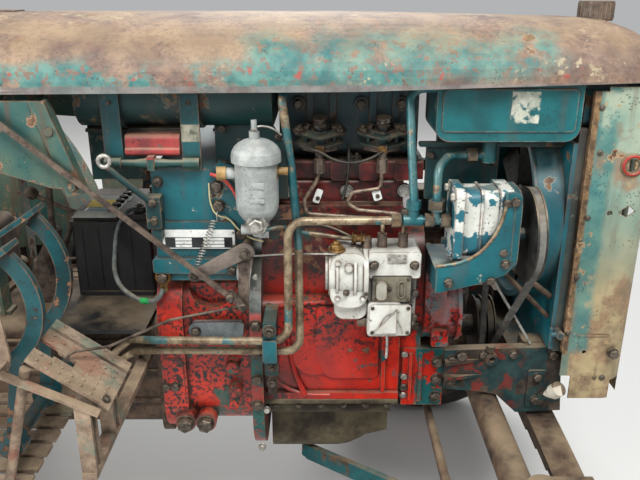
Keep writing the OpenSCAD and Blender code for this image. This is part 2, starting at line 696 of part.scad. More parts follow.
// Hydraulic tank beside the radiator
module hydraulic_tank() {
    x0 = eng_x + 203;
    x1 = eng_x + 457;
    outlet_x = eng_x + 308;
    color(teal) {
        difference() {
            y_rounded(x0, x1, -200, -70, 1080, 1226, 26);
            x_plate([[-201, 1184], [-201, 1227], [-110, 1227], [-150, 1212], [-184, 1190]], x0 - 1, x1 + 1);
        }
        y_rounded(x0 + 10, x1 - 10, -203, -198, 1098, 1172, 8);
        slab(x0 + 20, x0 + 34, -110, -90, 1006, 1082);
        slab(eng_x + 196, x0 + 34, -110, -90, 1006, 1026);
        z_cyl(outlet_x, -166, 1036, 1082, 13);
        x_cyl(outlet_x - 22, outlet_x, -166, 1048, 9);
    }
}

// Injector pipes and hydraulic pipes
module pipes() {
    r = pipe_d / 2;
    inj_r = 3.5;
    ya = -250;
    yb = -230;
    row_z = 951;
    color(steel) translate([eng_x, 0, 0]) {
        bent_tube([[-1, -158, 1013.5], [-8, -160, 995], [-30, -164, 962], [-24, -166, 936],
            [108, -176, 930],
            [114, pump_y + 34, 934], [114, pump_y + 34, 915]], inj_r, 9);
        bent_tube([[bore_pitch - 1, -158, 1013.5], [bore_pitch - 3, -160, 984], [60, -163, 977],
            [50, -165, 957],
            [72, -167, 944], [146, -172, 938], [152, pump_y + 34, 938], [152, pump_y + 34, 915]], inj_r, 8);
        bent_tube([[141, ya, row_z], [-57, ya, row_z - 2], [-59, ya, 712], [-305, ya, 714],
            [-385, -152, 664],
            [-432, -152, 622]], r, 32);
        bent_tube([[203, -150, 1190], [-34, -150, 1190], [-66, yb, 1172], [-50, yb, 1040], [-39, yb, 900],
            [-38, yb, 680], [-307, yb, 682], [-380, -152, 636], [-432, -152, 600]], r, 28);
        bent_tube([[203, -190, 1172], [156, -190, 1172], [160, -228, 1060], [164, ya, 985]], r, 24);
        bent_tube([[286, -166, 1048], [250, -166, 1048], [228, -190, 1050], [205, -238, 1042],
            [204, ya, 990]], r, 24);
        slab(-478, -431, -170, -gear_w, 586, 636);
    }
    color(teal) translate([eng_x, 0, 0]) {
        slab(-106, -82, ya - 10, -200, 668, 752);
        slab(-106, -82, -201, -block_w, 716, 752);
        x_cyl(146, 180, ya, row_z, 10);
        z_cyl(164, ya, row_z, 986, 10);
        x_cyl(178, 231, ya, row_z, 8);
        for (x = [126, 184, 212]) translate([x, ya, row_z])
            rotate([0, 90, 0]) cylinder(h = 16, r = 13, $fn = 6);
        translate([164, ya, 972]) cylinder(h = 16, r = 13, $fn = 6);
        z_cyl(204, ya, row_z, 992, 9);
        translate([204, ya, 970]) cylinder(h = 18, r = 15, $fn = 6);
        translate([268, -166, 1048]) rotate([0, 90, 0]) cylinder(h = 18, r = 14, $fn = 6);
    }
}

// Fuel tank with its two straps and the padded box between them
module fuel_tank() {
    x0 = eng_x - 430;
    x1 = eng_x - 84;
    w = 198;
    z0 = 1100;
    z1 = 1238;
    strap_w = 33;
    pad_x0 = eng_x - 343;
    pad_x1 = eng_x - 247;
    spindle_y = -w - 18;
    spindle_z = 1046;
    color(dark_teal) {
        x_rounded(x0, x1, -w, w, z0, z1, 54);
        z_cyl(x0 + 70, 0, z1, z1 + 18, 40);
        slab(x0 + 2, x0 + 104, -140, -136, 996, z0 + 1);
        slab(x0 + 2, x0 + 104, -152, -138, z0 - 12, z0 - 6);
    }
    color(teal) for (x = [eng_x - 380, eng_x - 243]) {
        difference() {
            x_rounded(x, x + strap_w, -w - 4, w + 4, z0 - 4, z1 + 4, 56);
            x_rounded(x - 1, x + strap_w + 1, -w - 0.2, w + 0.2, z0 - 0.2, z1 + 0.2, 53);
        }
        both() slab(x, x + strap_w, w + 4.2, w + 9, cover_z1, 1168);
        slab(x, x + strap_w, w - 40, w + 9, cover_z1, cover_z1 + 5);
        x_cyl(x + 2, x + strap_w - 2, spindle_y, spindle_z, 9);
    }
    color(teal) {
        slab(eng_x - 243, eng_x - 210, -w - 9, -w + 4, cover_z1, cover_z1 + 6);
        x_cyl(eng_x - 349, eng_x - 241, spindle_y, spindle_z, 6);
        translate([eng_x - 326, spindle_y, spindle_z]) rotate([0, 90, 0]) cylinder(h = 30, r1 = 6, r2 = 10);
        translate([eng_x - 266, spindle_y, spindle_z])
            rotate([0, -90, 0]) cylinder(h = 30, r1 = 6, r2 = 10);
        slab(eng_x - 302, eng_x - 290, spindle_y - 11, spindle_y + 11, spindle_z - 11, spindle_z + 13);
    }
    color(red) {
        x_rounded(pad_x0, pad_x1, -w - 8, -w + 60, 1062, 1094, 10);
        x_rounded(pad_x0, pad_x1, -w - 12, -w + 40, 1056, 1072, 7);
        slab(pad_x0, pad_x1, -w + 20, -w + 50, 1092, z0);
    }
}

// Battery on its floor plate
module battery() {
    x0 = eng_x - 527;
    x1 = eng_x - 358;
    y0 = -20;
    y1 = 190;
    color(black) {
        z_rounded(x0, x1, y0, y1, 703, 862, 8);
        z_rounded(x0 - 3, x1 + 3, y0 - 3, y1 + 3, 862, 872, 6);
        z_rounded(x0 + 4, x1 - 4, y0 + 4, y1 - 4, 872, 886, 8);
        z_rounded(x0 + 8, x1 - 2, y0 - 5, y1 + 5, 703, 713, 4);
        for (x = [x0 + 20 : 34 : x1 - 20]) slab(x, x + 3, y0 - 2, y0 + 1, 720, 856);
        for (i = [0 : 5]) z_cyl(x0 + 84, y0 + 30 + 30 * i, 886, 890, 10);
    }
    color(steel) for (y = [y0 + 26, y1 - 26]) {
        z_cyl(x1 - 26, y, 886, 902, 9);
        z_rounded(x1 - 40, x1 - 12, y - 13, y + 13, 889, 899, 6);
    }
    color(rust) {
        slab(x0 - 20, x1 + 14, -190, 200, gear_top + 6, 703);
        for (x = [x0 + 4, x1 - 20]) slab(x, x + 16, -110, 110, gear_top, gear_top + 6);
    }
}

// Cowl with the dash and its struts
cowl_x0 = eng_x - 740;
cowl_x1 = eng_x - 652;
module cowl() {
    w = hood_rear_w - 1;
    z0 = hood_edge_z;
    z1 = hood_top_z - 2;
    drop = 150;
    lug_y0 = 31;
    lug_y1 = 41;
    side_z1 = hood_edge_z - 10;
    color(dark_teal) {
        difference() {
            hull() {
                arch_slice(cowl_x0, w - 6, z0, z1 - 4, drop);
                arch_slice(cowl_x1 - 1, w, z0, z1, drop);
            }
            hull() {
                arch_slice(cowl_x0 + sheet_t, w - 6 - sheet_t, z0, z1 - 4 - sheet_t, drop + 20);
                arch_slice(cowl_x1 + 1, w - sheet_t, z0, z1 - sheet_t, drop + 20);
            }
        }
        both() y_plate([[cowl_x0 + 30, side_z1], [eng_x - 464, side_z1], [eng_x - 419, 1011],
            [eng_x - 460, 1014],
            [eng_x - 500, 1027], [eng_x - 545, 1041], [cowl_x0 + 30, 1052]], w - 6, w - 3.5);
        both() slab(hinge_x - 16, hinge_x, lug_y0, lug_y1, z1 - 3, hinge_z);
        both() y_cyl(hinge_x, lug_y0, lug_y1, hinge_z, 7);
        y_cyl(hinge_x, -lug_y0, lug_y0, hinge_z, hinge_r);
    }
    color(black) both() {
        y_plate([[eng_x - 478, side_z1], [eng_x - 452, side_z1], [eng_x - 412, 1040], [eng_x - 402, 1006],
            [eng_x - 432, 1000]], w - 3.6, w + 1);
        y_plate([[eng_x - 458, side_z1], [eng_x - 452, side_z1], [eng_x - 402, 1006],
            [eng_x - 408, 1005]], w - 26, w - 5.8);
        y_cyl(eng_x - 449, w + 1, w + 5, 1112, 7);
        y_cyl(eng_x - 422, w + 1, w + 5, 1018, 7);
    }
    color(rust) both() {
        slab(cowl_x1 - 12, cowl_x1 - 6, 60, 100, gear_top, 1120);
        slab(cowl_x1 - 12, cowl_x1 - 6, 60, w - 2, 1090, 1120);
        slab(cowl_x1 - 30, cowl_x1 + 4, 60, 94, gear_top, gear_top + 8);
    }
}

// Hand lever bar, bell crank, pull rods and the gear levers
module control_rods() {
    bar_y = -282;
    crank_y = -262;
    pivot = [-133, 895];
    tip = [-225, 851];
    foot = [-141, 790];
    joint = [-160, 816];
    color(steel) translate([eng_x, 0, 0]) {
        flat_bar([-560, 1156], joint, 9, bar_y, bar_y + 5);
        flat_bar(pivot, tip, 20, crank_y, crank_y + 6);
        flat_bar(pivot, foot, 20, crank_y, crank_y + 6);
        y_cyl(pivot[0], crank_y, crank_y + 6, pivot[1], 15);
        y_cyl(pivot[0], crank_y - 8, -200, pivot[1], 8);
        y_cyl(joint[0], bar_y - 3, crank_y + 1, joint[1], 5);
        flat_bar(joint, foot, 14, crank_y - 5, crank_y + 1);
        y_cyl(tip[0], crank_y - 6, crank_y, tip[1], 5);
        y_cyl(-556, bar_y, 4.5 - hood_rear_w, 1152.6, 6);
        bent_tube([[foot[0], crank_y + 3, foot[1]], [-268, -296, 779], [-345, -402, 784], [-392, -450, 800],
            [-404, -454, 772]], 2.5, 10);
        rod([-574, 0, 846], [-568, 0, 984], 7);
        rod([-590, 24, 722], [-541, 50, 871], 6);
        rod([-541, 50, 871], [-629, 50, 912], 5.5);
        translate([-541, 50, 871]) sphere(r = 6.4);
        z_cyl(-600, 10, gear_top, 716, 44);
        translate([-600, 10, 716]) cylinder(h = 60, r1 = 40, r2 = 26);
        rod([-600, 6, 770], [-575, 0, 812], 21);
    }
    color(black) translate([eng_x, 0, 0]) {
        rod([-580, 1, 803], [-573, 0, 850], 18);
        translate([-568, 0, 989]) sphere(r = 12);
        translate([-629, 50, 914]) sphere(r = 15);
    }
}

// Tread plates at the front and slatted footboards beside the gearbox
module footboards() {
    board_z = 560;
    board_x0 = rear_x + 290;
    board_x1 = eng_x - 480;
    board_y1 = rear_y - rear_w / 2 - 39;
    slats = 7;
    pitch = 42;
    slat_w = 30;
    top = [-440, 816];
    low = [-322, 731];
    post_x0 = eng_x - 372;
    post_x1 = eng_x - 348;
    color([0.75, 0.65, 0.51]) both() {
        difference() {
            tread(top, low, 400, 500);
            y_plate([[eng_x - 412, 806], [eng_x - 384, 786], [eng_x - 390, 768],
                [eng_x - 418, 788]], 442, 458);
            slab(eng_x - 450, eng_x - 414, 436, 464, 780, 830);
        }
        tread(top, low, 366, 392);
        tread([-484, 803], [-334, 731], 503, 519);
        y_plate([[eng_x - 610, 800], [eng_x - 486, 782], [eng_x - 474, 792], [eng_x - 472, 806],
            [eng_x - 478, 905], [eng_x - 610, 944]], 476, 481);
        slab(eng_x - 484, eng_x - 476, 476, 519, 790, 802);
        for (i = [0 : slats - 1])
            slab(board_x0, board_x1, 196 + i * pitch, 196 + i * pitch + slat_w, board_z, board_z + 6);
        slab(board_x0 + 20, board_x0 + 50, rear_case_w, board_y1 - 6, board_z - 24, board_z);
        slab(board_x1 - 50, board_x1 - 20, gear_w, board_y1 - 6, board_z - 24, board_z);
        slab(board_x0, board_x1, board_y1 - 6, board_y1, board_z - 24, board_z + 16);
        rod([board_x1 - 35, board_y1 - 4, board_z - 12], [eng_x - 442, 500, 800], 8);
        slab(post_x0, post_x1, gear_w, 519, 612, 624);
        for (y = [380, 404, 488])
            y_plate([[post_x0, 612], [post_x1, 612], [post_x1, 744.6], [post_x0, 761.9]], y, y + 8);
        y_plate([[post_x0, 612], [post_x1, 612], [post_x1, 733], [post_x0, 744.5]], 508, 516);
    }
}

// A sloping plate of the front footboards, its upper face between two points
module tread(a, b, y0, y1) {
    t = 5;
    n = [b[1] - a[1], a[0] - b[0]] / norm(b - a) * t;
    translate([eng_x, 0, 0]) y_plate([a, b, b + n, a + n], y0, y1);
}

// Clutch and brake pedals: curved arms on a cross shaft, each with its pad
pedal_x = eng_x - 512;
module pedal(y, centre, r) {
    bar = 26;
    thick = 12;
    foot_z = 632;
    start = -50;
    sweep = 97;
    low = centre + (r - bar / 2) * [cos(start), sin(start)];
    high = centre + (r - 8) * [cos(start + sweep), sin(start + sweep)];
    translate([centre[0], y + thick / 2, centre[1]]) rotate([90, 0, 0]) rotate([0, 0, start])
        rotate_extrude(angle = sweep) translate([r - bar, 0]) square([bar, thick]);
    flat_bar(low, [pedal_x + 8, foot_z], 22, y - thick / 2 + 1, y + thick / 2 - 1);
    y_plate([high + [8, 18], high + [12, 10], high + [-86, -54], high + [-90, -46]], y - 24, y + 24);
    y_cyl(pedal_x + 8, y - 16, y + 16, foot_z, 22);
}
module pedals() {
    reach = 466;
    near = [eng_x - 548, 878];
    far = [eng_x - 578, 873];
    color(teal) {
        pedal(-450, near, 126);
        pedal(-300, far, 148);
        pedal(330, far, 148);
        y_cyl(pedal_x + 8, -reach, -gear_w - 7, 632, 12);
        y_cyl(pedal_x + 8, gear_w + 7, 346, 632, 12);
    }
}

// Front axle tube with the kingpins' sleeves
sleeve_z0 = 484;
sleeve_z1 = 600;
module axle_beam() {
    color(rust) {
        difference() {
            union() {
                y_cyl(front_x, -king_y + 20, king_y - 20, axle_z, axle_d / 2);
                both() z_cyl(front_x, king_y, sleeve_z0, sleeve_z1, kingpin_r + 14);
            }
            both() z_cyl(front_x, king_y, sleeve_z0 - 1, sleeve_z1 + 1, kingpin_r + run_clear);
        }
        both() slab(front_x + 10, front_x + 134, 404, 432, axle_z - 12, axle_z + 12);
    }
}

// Transverse leaf spring and the two radius arms
spring_x = eng_x + 462;
module front_suspension() {
    spring_w = 58;
    leaves = [[440, 0], [380, 1], [310, 2], [240, 3], [170, 4]];
    leaf_t = 7;
    bend_r = 4200;
    spring_z = 498;
    arm_y = 452;
    color(rust) {
        for (l = leaves) intersection() {
            slab(spring_x - spring_w / 2, spring_x + spring_w / 2, -l[0], l[0], 400, 560);
            translate([spring_x - spring_w / 2 - 1, 0, spring_z - bend_r - l[1] * leaf_t])
                rotate([90, 0, 90]) difference() {
                    cylinder(h = spring_w + 2, r = bend_r, $fn = 96);
                    translate([0, 0, -1]) cylinder(h = spring_w + 4, r = bend_r - leaf_t, $fn = 96);
                }
        }
        both() slab(spring_x - 12, spring_x + 12, 404, 432, 478, axle_z - 12);
        slab(spring_x - 40, spring_x + 40, -36, 36, 458, 464);
        both() for (x = [spring_x - 36, spring_x + 36]) z_cyl(x, 30, 458, spring_z, 6);
    }
    color(teal) slab(eng_x - 42, eng_x - 18, -30, 30, 326, 352);
    color(teal) y_cyl(eng_x - 30, -70, 70, 326, 12);
    color(teal) both() {
        arm_t = 14;
        arm_h = 36;
        a = [eng_x - 30, 60, 326];
        b = [front_x - 20, arm_y, 438];
        d = b - a;
        translate(a) rotate([0, 0, atan2(d[1], d[0])]) rotate([0, -asin(d[2] / norm(d)), 0])
            translate([0, -arm_t / 2, -arm_h / 2]) cube([norm(d), arm_t, arm_h]);
        slab(front_x - 34, front_x + 16, arm_y - 12, arm_y + 12, 430, axle_z - axle_d / 2);
    }
}

// Rear fenders
module fenders() {
    y0 = rear_y - rear_w / 2 - 26;
    start = 8;
    sweep = 138;
    inner_r = 350;
    lip = 14;
    color(pale_teal) both() translate([rear_x, y0, rear_r]) rotate([90, 0, 0]) mirror([0, 0, 1])
        rotate([0, 0, start]) rotate_extrude(angle = sweep) polygon([
            [inner_r, 0], [fender_r + sheet_t, 0], [fender_r + sheet_t, fender_w],
                [fender_r - lip, fender_w],
            [fender_r - lip, fender_w - sheet_t], [fender_r, fender_w - sheet_t], [fender_r, sheet_t],
            [inner_r, sheet_t]]);
    color(rust) both() {
        slab(rear_x - 20, rear_x + 20, 98, y0, 800, 812);
        slab(rear_x - 20, rear_x + 20, y0 - 6, y0, 800, 1000);
    }
}

// Pan seat on its leaf spring
seat_x = rear_x - 50;
module seat() {
    pan_l = 380;
    color(teal) difference() {
        translate([seat_x, 0, seat_z]) hull() {
            translate([0, 0, -8]) z_rounded(-pan_l / 2, pan_l / 2, -seat_w / 2, seat_w / 2, 0, 8, 120);
            translate([0, 0, -58]) z_rounded(-pan_l / 2 + 40, pan_l / 2 - 30, -seat_w / 2 + 40,
                seat_w / 2 - 40, 0, 8, 100);
            translate([0, 0, 84]) z_rounded(-pan_l / 2 - 20, -pan_l / 2 + 14, -seat_w / 2 + 70,
                seat_w / 2 - 70, 0, 6, 16);
        }
        translate([seat_x + 4, 0, seat_z]) hull() {
            translate([0, 0, -4]) z_rounded(-pan_l / 2 + 4, pan_l / 2 - 8, -seat_w / 2 + 5,
                seat_w / 2 - 5, 0, 8, 115);
            translate([0, 0, -54]) z_rounded(-pan_l / 2 + 42, pan_l / 2 - 36, -seat_w / 2 + 45,
                seat_w / 2 - 45, 0, 8, 96);
            translate([0, 0, 100]) z_rounded(-pan_l / 2 - 16, pan_l / 2, -seat_w / 2 + 74,
                seat_w / 2 - 74, 0, 6, 14);
        }
        for (x = [-90 : 45 : 90], y = [-50, 0, 50]) z_cyl(seat_x + x, y, seat_z - 70, seat_z - 40, 8);
    }
    color(steel) {
        slab(seat_x - 80, seat_x - 20, -28, 28, seat_z - 72, seat_z - 58);
        y_plate([[rear_x + 104, 826], [rear_x + 104, 835], [rear_x - 30, 835], [seat_x - 38, 858],
            [seat_x - 44, seat_z - 72], [seat_x - 56, seat_z - 72], [seat_x - 50, 850], [rear_x - 30, 826]],
            -26, 26);
    }
}

// Steering column with its box on the gearbox
wheel_tilt = 30;
wheel_axis = [-sin(wheel_tilt), 0, cos(wheel_tilt)];
wheel_c = [eng_x - 950, 0, 1200];
shaft_r = 12;
box_x = eng_x - 765;
box_y = 214;
box_z = drag_z + 110;
column_q = wheel_c - 24 * wheel_axis;
column_p = wheel_c - 400 * wheel_axis;
module steering_column() {
    drop_pin_r = 14;
    case_z1 = 850;
    color(black) difference() {
        rod(column_p, column_q, shaft_r + 9);
        rod(column_p - wheel_axis, column_q + wheel_axis, shaft_r + run_clear);
    }
    color(rust) {
        rod(column_p - 70 * wheel_axis, column_p + 0.5 * wheel_axis, shaft_r + 15);
        y_rounded(box_x - 50, box_x + 56, -46, gear_w - 4, gear_top, case_z1, 20);
        y_rounded(box_x - 64, box_x + 70, -70, gear_w - 34, gear_top, gear_top + 12, 4);
        difference() {
            y_cyl(box_x, gear_w - 5, box_y - 12, box_z, 34);
            y_cyl(box_x, gear_w + 20, box_y, box_z, drop_pin_r + run_clear);
        }
    }
}

// Arm below the steering box
module drop_arm() {
    t = 14;
    y0 = box_y - 7;
    color(rust) {
        y_cyl(box_x, gear_w + 26, y0 + t, box_z, 14);
        y_cyl(box_x, y0, y0 + t, box_z, 26);
        slab(box_x - 13, box_x + 13, y0, y0 + t, drag_z, box_z);
        y_cyl(box_x, y0, y0 + t, drag_z, 18);
        y_cyl(box_x, y0 + t, y0 + t + 34, drag_z, 9);
    }
}

// Link from the arm to the left knuckle
drag_y0 = box_y + 24;
drag_y1 = king_y - 110;
module drag_link() {
    cup_r = 36;
    wall = 4;
    color(rust) {
        difference() {
            union() {
                y_cyl(box_x, drag_y0 - 10, drag_y0 + 10, drag_z, 20);
                rod([box_x, drag_y0, drag_z], [front_x - 20, drag_y1 - 6, drag_z], 9);
            }
            y_cyl(box_x, drag_y0 - 11, drag_y0 + 11, drag_z, 9 + run_clear);
            z_cyl(front_x, drag_y1, drag_z - 40, drag_z + 8, cup_r - wall);
        }
        difference() {
            z_cyl(front_x, drag_y1, drag_z - 22, drag_z + 14, cup_r);
            z_cyl(front_x, drag_y1, drag_z - 40, drag_z + 9, cup_r - wall);
        }
    }
}

// Swinging drawbar plate at the rear
module drawbar() {
    x0 = rear_x - 470;
    x1 = rear_x - 100;
    z0 = 372;
    z1 = 392;
    color(rust) difference() {
        union() {
            slab(x0 + 40, x1, -40, 40, z0, z1);
            z_cyl(x0 + 40, 0, z0, z1, 40);
            both() slab(rear_x - 260, rear_x - 190, 60, 80, 372, 480);
            slab(rear_x - 260, rear_x - 240, -80, 80, z0 - 20, z0);
        }
        z_cyl(x0 + 40, 0, z0 - 21, z1 + 1, hitch_r);
    }
}

// Exhaust manifold and pipe, starter and dynamo on the left side
module exhaust() {
    outlet_x = eng_x + 110;
    hanger_x = clutch_x0 - 200;
    color(rust) {
        y_rounded(eng_x - 60, eng_x + 150, 128, 172, head_z0 + 1, head_z1 - 2, 12);
        bent_tube([[outlet_x, 150, 1012], [outlet_x, 214, 990], [outlet_x, 214, 430],
            [clutch_x0 - 60, 230, 420]],
            22, 44);
        x_cyl(clutch_x0 - 420, clutch_x0 - 60, 230, 420, 48);
        x_cyl(clutch_x0 - 620, clutch_x0 - 420, 230, 420, 20);
        slab(hanger_x, hanger_x + 20, gear_w, 240, 476, 484);
        slab(hanger_x, hanger_x + 20, 224, 236, 460, 480);
        slab(eng_x + 190, eng_x + 202, block_w - 10, dyn_y, 750, 800);
    }
    color(black) {
        x_cyl(block_x0 + 2, block_x0 + 170, 214, 640, 42);
        x_cyl(eng_x + 170, eng_x + 330, dyn_y, dyn_z, 52);
        slab(block_x0 + 2, block_x0 + 22, block_w, 200, 610, 670);
    }
}

// Bonnet: an arched sheet with a rounded nose
module bonnet() {
    x0 = eng_x - 640;
    bonnet_l = 1249;
    stations = [[0, hood_rear_w, 0, 0], [700, hood_front_w + 36, 2, 0], [1120, hood_front_w, 10, 9],
        [1170, hood_front_w - 2, 11, 13], [1210, hood_front_w - 8, 11, 26],
            [1236, hood_front_w - 20, 11, 48],
        [bonnet_l, hood_front_w - 34, 11, 76]];
    bead = 4;
    color(pale_teal) {
        difference() {
            union() {
                hull() for (s = stations)
                    arch_slice(x0 + s[0], s[1], hood_edge_z + s[2], hood_top_z - s[3], 0);
                both() rod([x0, hood_rear_w - 1, hood_edge_z + bead], [x0 + 1120, hood_front_w - 1,
                    hood_edge_z + 10 + bead], bead);
            }
            hull() for (s = stations)
                arch_slice(x0 + s[0] * (1 - sheet_t / bonnet_l) - (s[0] == 0 ? 1 : 0), s[1] - sheet_t,
                    hood_edge_z + s[2], hood_top_z - s[3] - sheet_t, 30);
            z_cyl(cap_x, 0, hood_top_z - 60, hood_top_z + 10, cap_r + 10);
        }
        difference() {
            union() {
                y_cyl(hinge_x, -26, 26, hinge_z, 7);
                y_plate([[hinge_x, hinge_z + 7], [hinge_x + 16, hood_top_z + 3],
                    [hinge_x + 64, hood_top_z + 2],
                    [hinge_x + 64, hood_top_z - 2], [hinge_x + 5, hood_top_z - 2],
                        [hinge_x, hinge_z]], -26, 26);
            }
            y_cyl(hinge_x, -27, 27, hinge_z, hinge_r + run_clear);
        }
    }
}

// Steering wheel with three spokes on its shaft
module steering_wheel() {
    rim_r = 13;
    shaft_l = 380;
    color(black) translate(wheel_c) rotate([0, -wheel_tilt, 0]) {
        rotate_extrude() translate([wheel_d / 2 - rim_r, 0]) circle(r = rim_r);
        for (a = [0, 120, 240]) rotate([0, 0, a + 60])
            rod([20, 0, -10], [wheel_d / 2 - rim_r, 0, 0], 8);
        cylinder(h = 34, r = 30, center = true);
        translate([0, 0, -shaft_l]) cylinder(h = shaft_l, r = shaft_r);
    }
}

// Front knuckle on the right side, mirrored for the left
module knuckle() {
    spindle_end = front_y + 44;
    color(rust) {
        z_cyl(front_x, king_y, front_r - 30, sleeve_z1 + 10, kingpin_r);
        z_cyl(front_x, king_y, front_r - 34, sleeve_z0 - 5, kingpin_r + 12);
        y_cyl(front_x, king_y, front_y - 46, front_r, 26);
        y_cyl(front_x, front_y - 46, spindle_end, front_r, stub_r);
        z_cyl(front_x, king_y, sleeve_z1 + 5, sleeve_z1 + 17, kingpin_r + 10);
        slab(front_x - arm_l, front_x, king_y - 14, king_y + 14, arm_z - 8, arm_z + 8);
        z_cyl(front_x - arm_l, king_y, arm_z - 8, arm_z + 8, 18);
        z_cyl(front_x - arm_l, king_y, arm_z, tie_z + 16, 9);
    }
}
module knuckle_right() {
    mirror([0, 1, 0]) knuckle();
}
module knuckle_left() {
    ball_z = drag_z - 6;
    knuckle();
    color(rust) {
        slab(front_x - 13, front_x + 13, drag_y1, king_y, sleeve_z1 + 5, sleeve_z1 + 17);
        z_cyl(front_x, drag_y1, sleeve_z1 + 5, sleeve_z1 + 17, 16);
        z_cyl(front_x, drag_y1, sleeve_z1 + 5, ball_z, 7);
        translate([front_x, drag_y1, ball_z - 4]) sphere(r = 10);
    }
}

// Tie rod between the two steering arms
module tie_rod() {
    x = front_x - arm_l;
    eye_h = 20;
    color(rust) difference() {
        union() {
            y_cyl(x, -king_y + 10, king_y - 10, tie_z, tie_d / 2);
            both() z_cyl(x, king_y, tie_z - eye_h / 2, tie_z + eye_h / 2, 17);
        }
        both() z_cyl(x, king_y, tie_z - eye_h, tie_z + eye_h, 9 + run_clear);
    }
}

// Rims and the tyre beads that sit between their lips
rim_lip = 16;
rim_t = 5;
front_rim_w = front_w * 0.72;
rear_rim_w = rear_w * 0.76;
front_bead = front_rim_w / 2 - rim_t - 0.3;
rear_bead = rear_rim_w / 2 - rim_t - 0.3;

// Rear tyre with two rows of slanting lugs
module rear_tyre() {
    seat_r = (rear_rim_r + 0.1) / cos(180 / tyre_fn);
    hw = rear_w / 2;
    shoulder = rear_r - lug_h;
    lip_r = seat_r + rim_lip + 2;
    color(black) {
        rotate([90, 0, 0]) rotate_extrude($fn = tyre_fn) polygon([
            [seat_r, -rear_bead], [lip_r, -rear_bead], [(seat_r + shoulder) / 2, -hw],
                [shoulder - 34, -hw * 0.93],
            [shoulder, -hw * 0.5], [shoulder, hw * 0.5], [shoulder - 34, hw * 0.93],
            [(seat_r + shoulder) / 2, hw], [lip_r, rear_bead], [seat_r, rear_bead]]);
        for (i = [0 : lug_count - 1], s = [-1, 1])
            rotate([0, (i + (s > 0 ? 0.5 : 0)) * 360 / lug_count, 0]) lug(s, hw, shoulder);
    }
}
module lug(s, hw, shoulder) {
    t = 15;
    root = 6;
    hull() {
        translate([-t, s * hw * 0.02 - 4, shoulder - root]) cube([2 * t, 8, lug_h + root]);
        translate([78, s * hw * 0.9 - 3, shoulder - 50]) rotate([0, 9, 0])
            translate([-t, 0, 0]) cube([2 * t, 6, lug_h + 32]);
    }
}

// Front tyre with three ribs
module front_tyre() {
    seat_r = (front_rim_r + 0.1) / cos(180 / tyre_fn);
    hw = front_w / 2;
    top = front_r;
    lip_r = seat_r + rim_lip + 2;
    color(black) resize([2 * front_r, front_w, 2 * front_r])
        rotate([90, 0, 0]) rotate_extrude($fn = tyre_fn)
        polygon([
            [seat_r, -front_bead], [lip_r, -front_bead], [(seat_r + top) / 2, -hw], [top - 22, -hw * 0.86],
            [top - 6, -hw * 0.56], [top - 14, -hw * 0.3], [top, -hw * 0.16],
            [top, hw * 0.16], [top - 14, hw * 0.3], [top - 6, hw * 0.56], [top - 22, hw * 0.86],
            [(seat_r + top) / 2, hw], [lip_r, front_bead], [seat_r, front_bead]]);
}

// A rim with its disc and hub, its outer side towards +Y
module rim(r, w, disc_y, hub_r, hub_y0, hub_y1, bore_r, bolts, bolt_circle) {
    hw = w / 2;
    t = rim_t;
    drop = 22;
    color(red) rotate([-90, 0, 0]) difference() {
        union() {
            rotate_extrude() polygon([
                [r - t, -hw], [r + rim_lip, -hw], [r + rim_lip, -hw + t], [r, -hw + t], [r, -hw * 0.5],
                [r - drop, -hw * 0.34], [r - drop, hw * 0.34], [r, hw * 0.5], [r, hw - t],
                [r + rim_lip, hw - t], [r + rim_lip, hw], [r - t, hw], [r - t, hw * 0.5 + 2],
                [r - drop - t, hw * 0.34 + 2], [r - drop - t, -hw * 0.34 - 2], [r - t, -hw * 0.5 - 2]]);
            rotate_extrude() polygon([
                [0, disc_y], [hub_r + 22, disc_y], [hub_r + 60, disc_y - drop],
                    [r - drop - 2, disc_y - drop],
                [r - drop - 2, disc_y - 14], [hub_r + 62, disc_y - 14], [hub_r + 26, disc_y + 9],
                    [0, disc_y + 9]]);
            translate([0, 0, hub_y0]) cylinder(h = hub_y1 - hub_y0, r = hub_r);
            for (i = [0 : bolts - 1]) rotate([0, 0, i * 360 / bolts])
                translate([bolt_circle, 0, disc_y + 9]) cylinder(h = 12, r = 10, $fn = 6);
        }
        translate([0, 0, hub_y0 - 1]) cylinder(h = hub_y1 - hub_y0 - 9, r = bore_r);
    }
}
module front_rim() {
    rim(front_rim_r, front_rim_w, 10, 34, -40, 56, stub_r + run_clear, 5, 46);
}
module rear_rim() {
    rim(rear_rim_r, rear_rim_w, -20, 70, -44, 26, 1, 8, 82);
    color(steel) rotate([90, 0, 0]) cylinder(h = rear_y - rear_case_w - 62, r = rear_shaft_r);
}

module tyre_front_right() { translate([front_x, -front_y, front_r]) front_tyre(); }
module tyre_front_left() { translate([front_x, front_y, front_r]) front_tyre(); }
module tyre_rear_right() { translate([rear_x, -rear_y, rear_r]) rear_tyre(); }
module tyre_rear_left() { translate([rear_x, rear_y, rear_r]) rear_tyre(); }
module rim_front_left() { translate([front_x, front_y, front_r]) front_rim(); }
module rim_front_right() { mirror([0, 1, 0]) rim_front_left(); }
module rim_rear_left() { translate([rear_x, rear_y, rear_r]) rear_rim(); }
module rim_rear_right() { mirror([0, 1, 0]) rim_rear_left(); }

gearbox();
clutch_housing();
cover_housing();
engine_block();
oil_pan();
cylinder_head();
injectors();
injection_pump();
fuel_filter();
hydraulic_pump();
fan_drive();
belts();
radiator();
front_frame();
grille_shell();
hydraulic_tank();
pipes();
fuel_tank();
battery();
cowl();
control_rods();
footboards();
pedals();
axle_beam();
front_suspension();
fenders();
seat();
steering_column();
drawbar();
exhaust();
bonnet();
steering_wheel();
knuckle_right();
knuckle_left();
tie_rod();
drop_arm();
drag_link();
tyre_front_right();
tyre_front_left();
tyre_rear_right();
tyre_rear_left();
rim_front_right();
rim_front_left();
rim_rear_right();
rim_rear_left();
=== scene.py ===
import math
import random

import bmesh
import bpy
from mathutils import Matrix, Vector


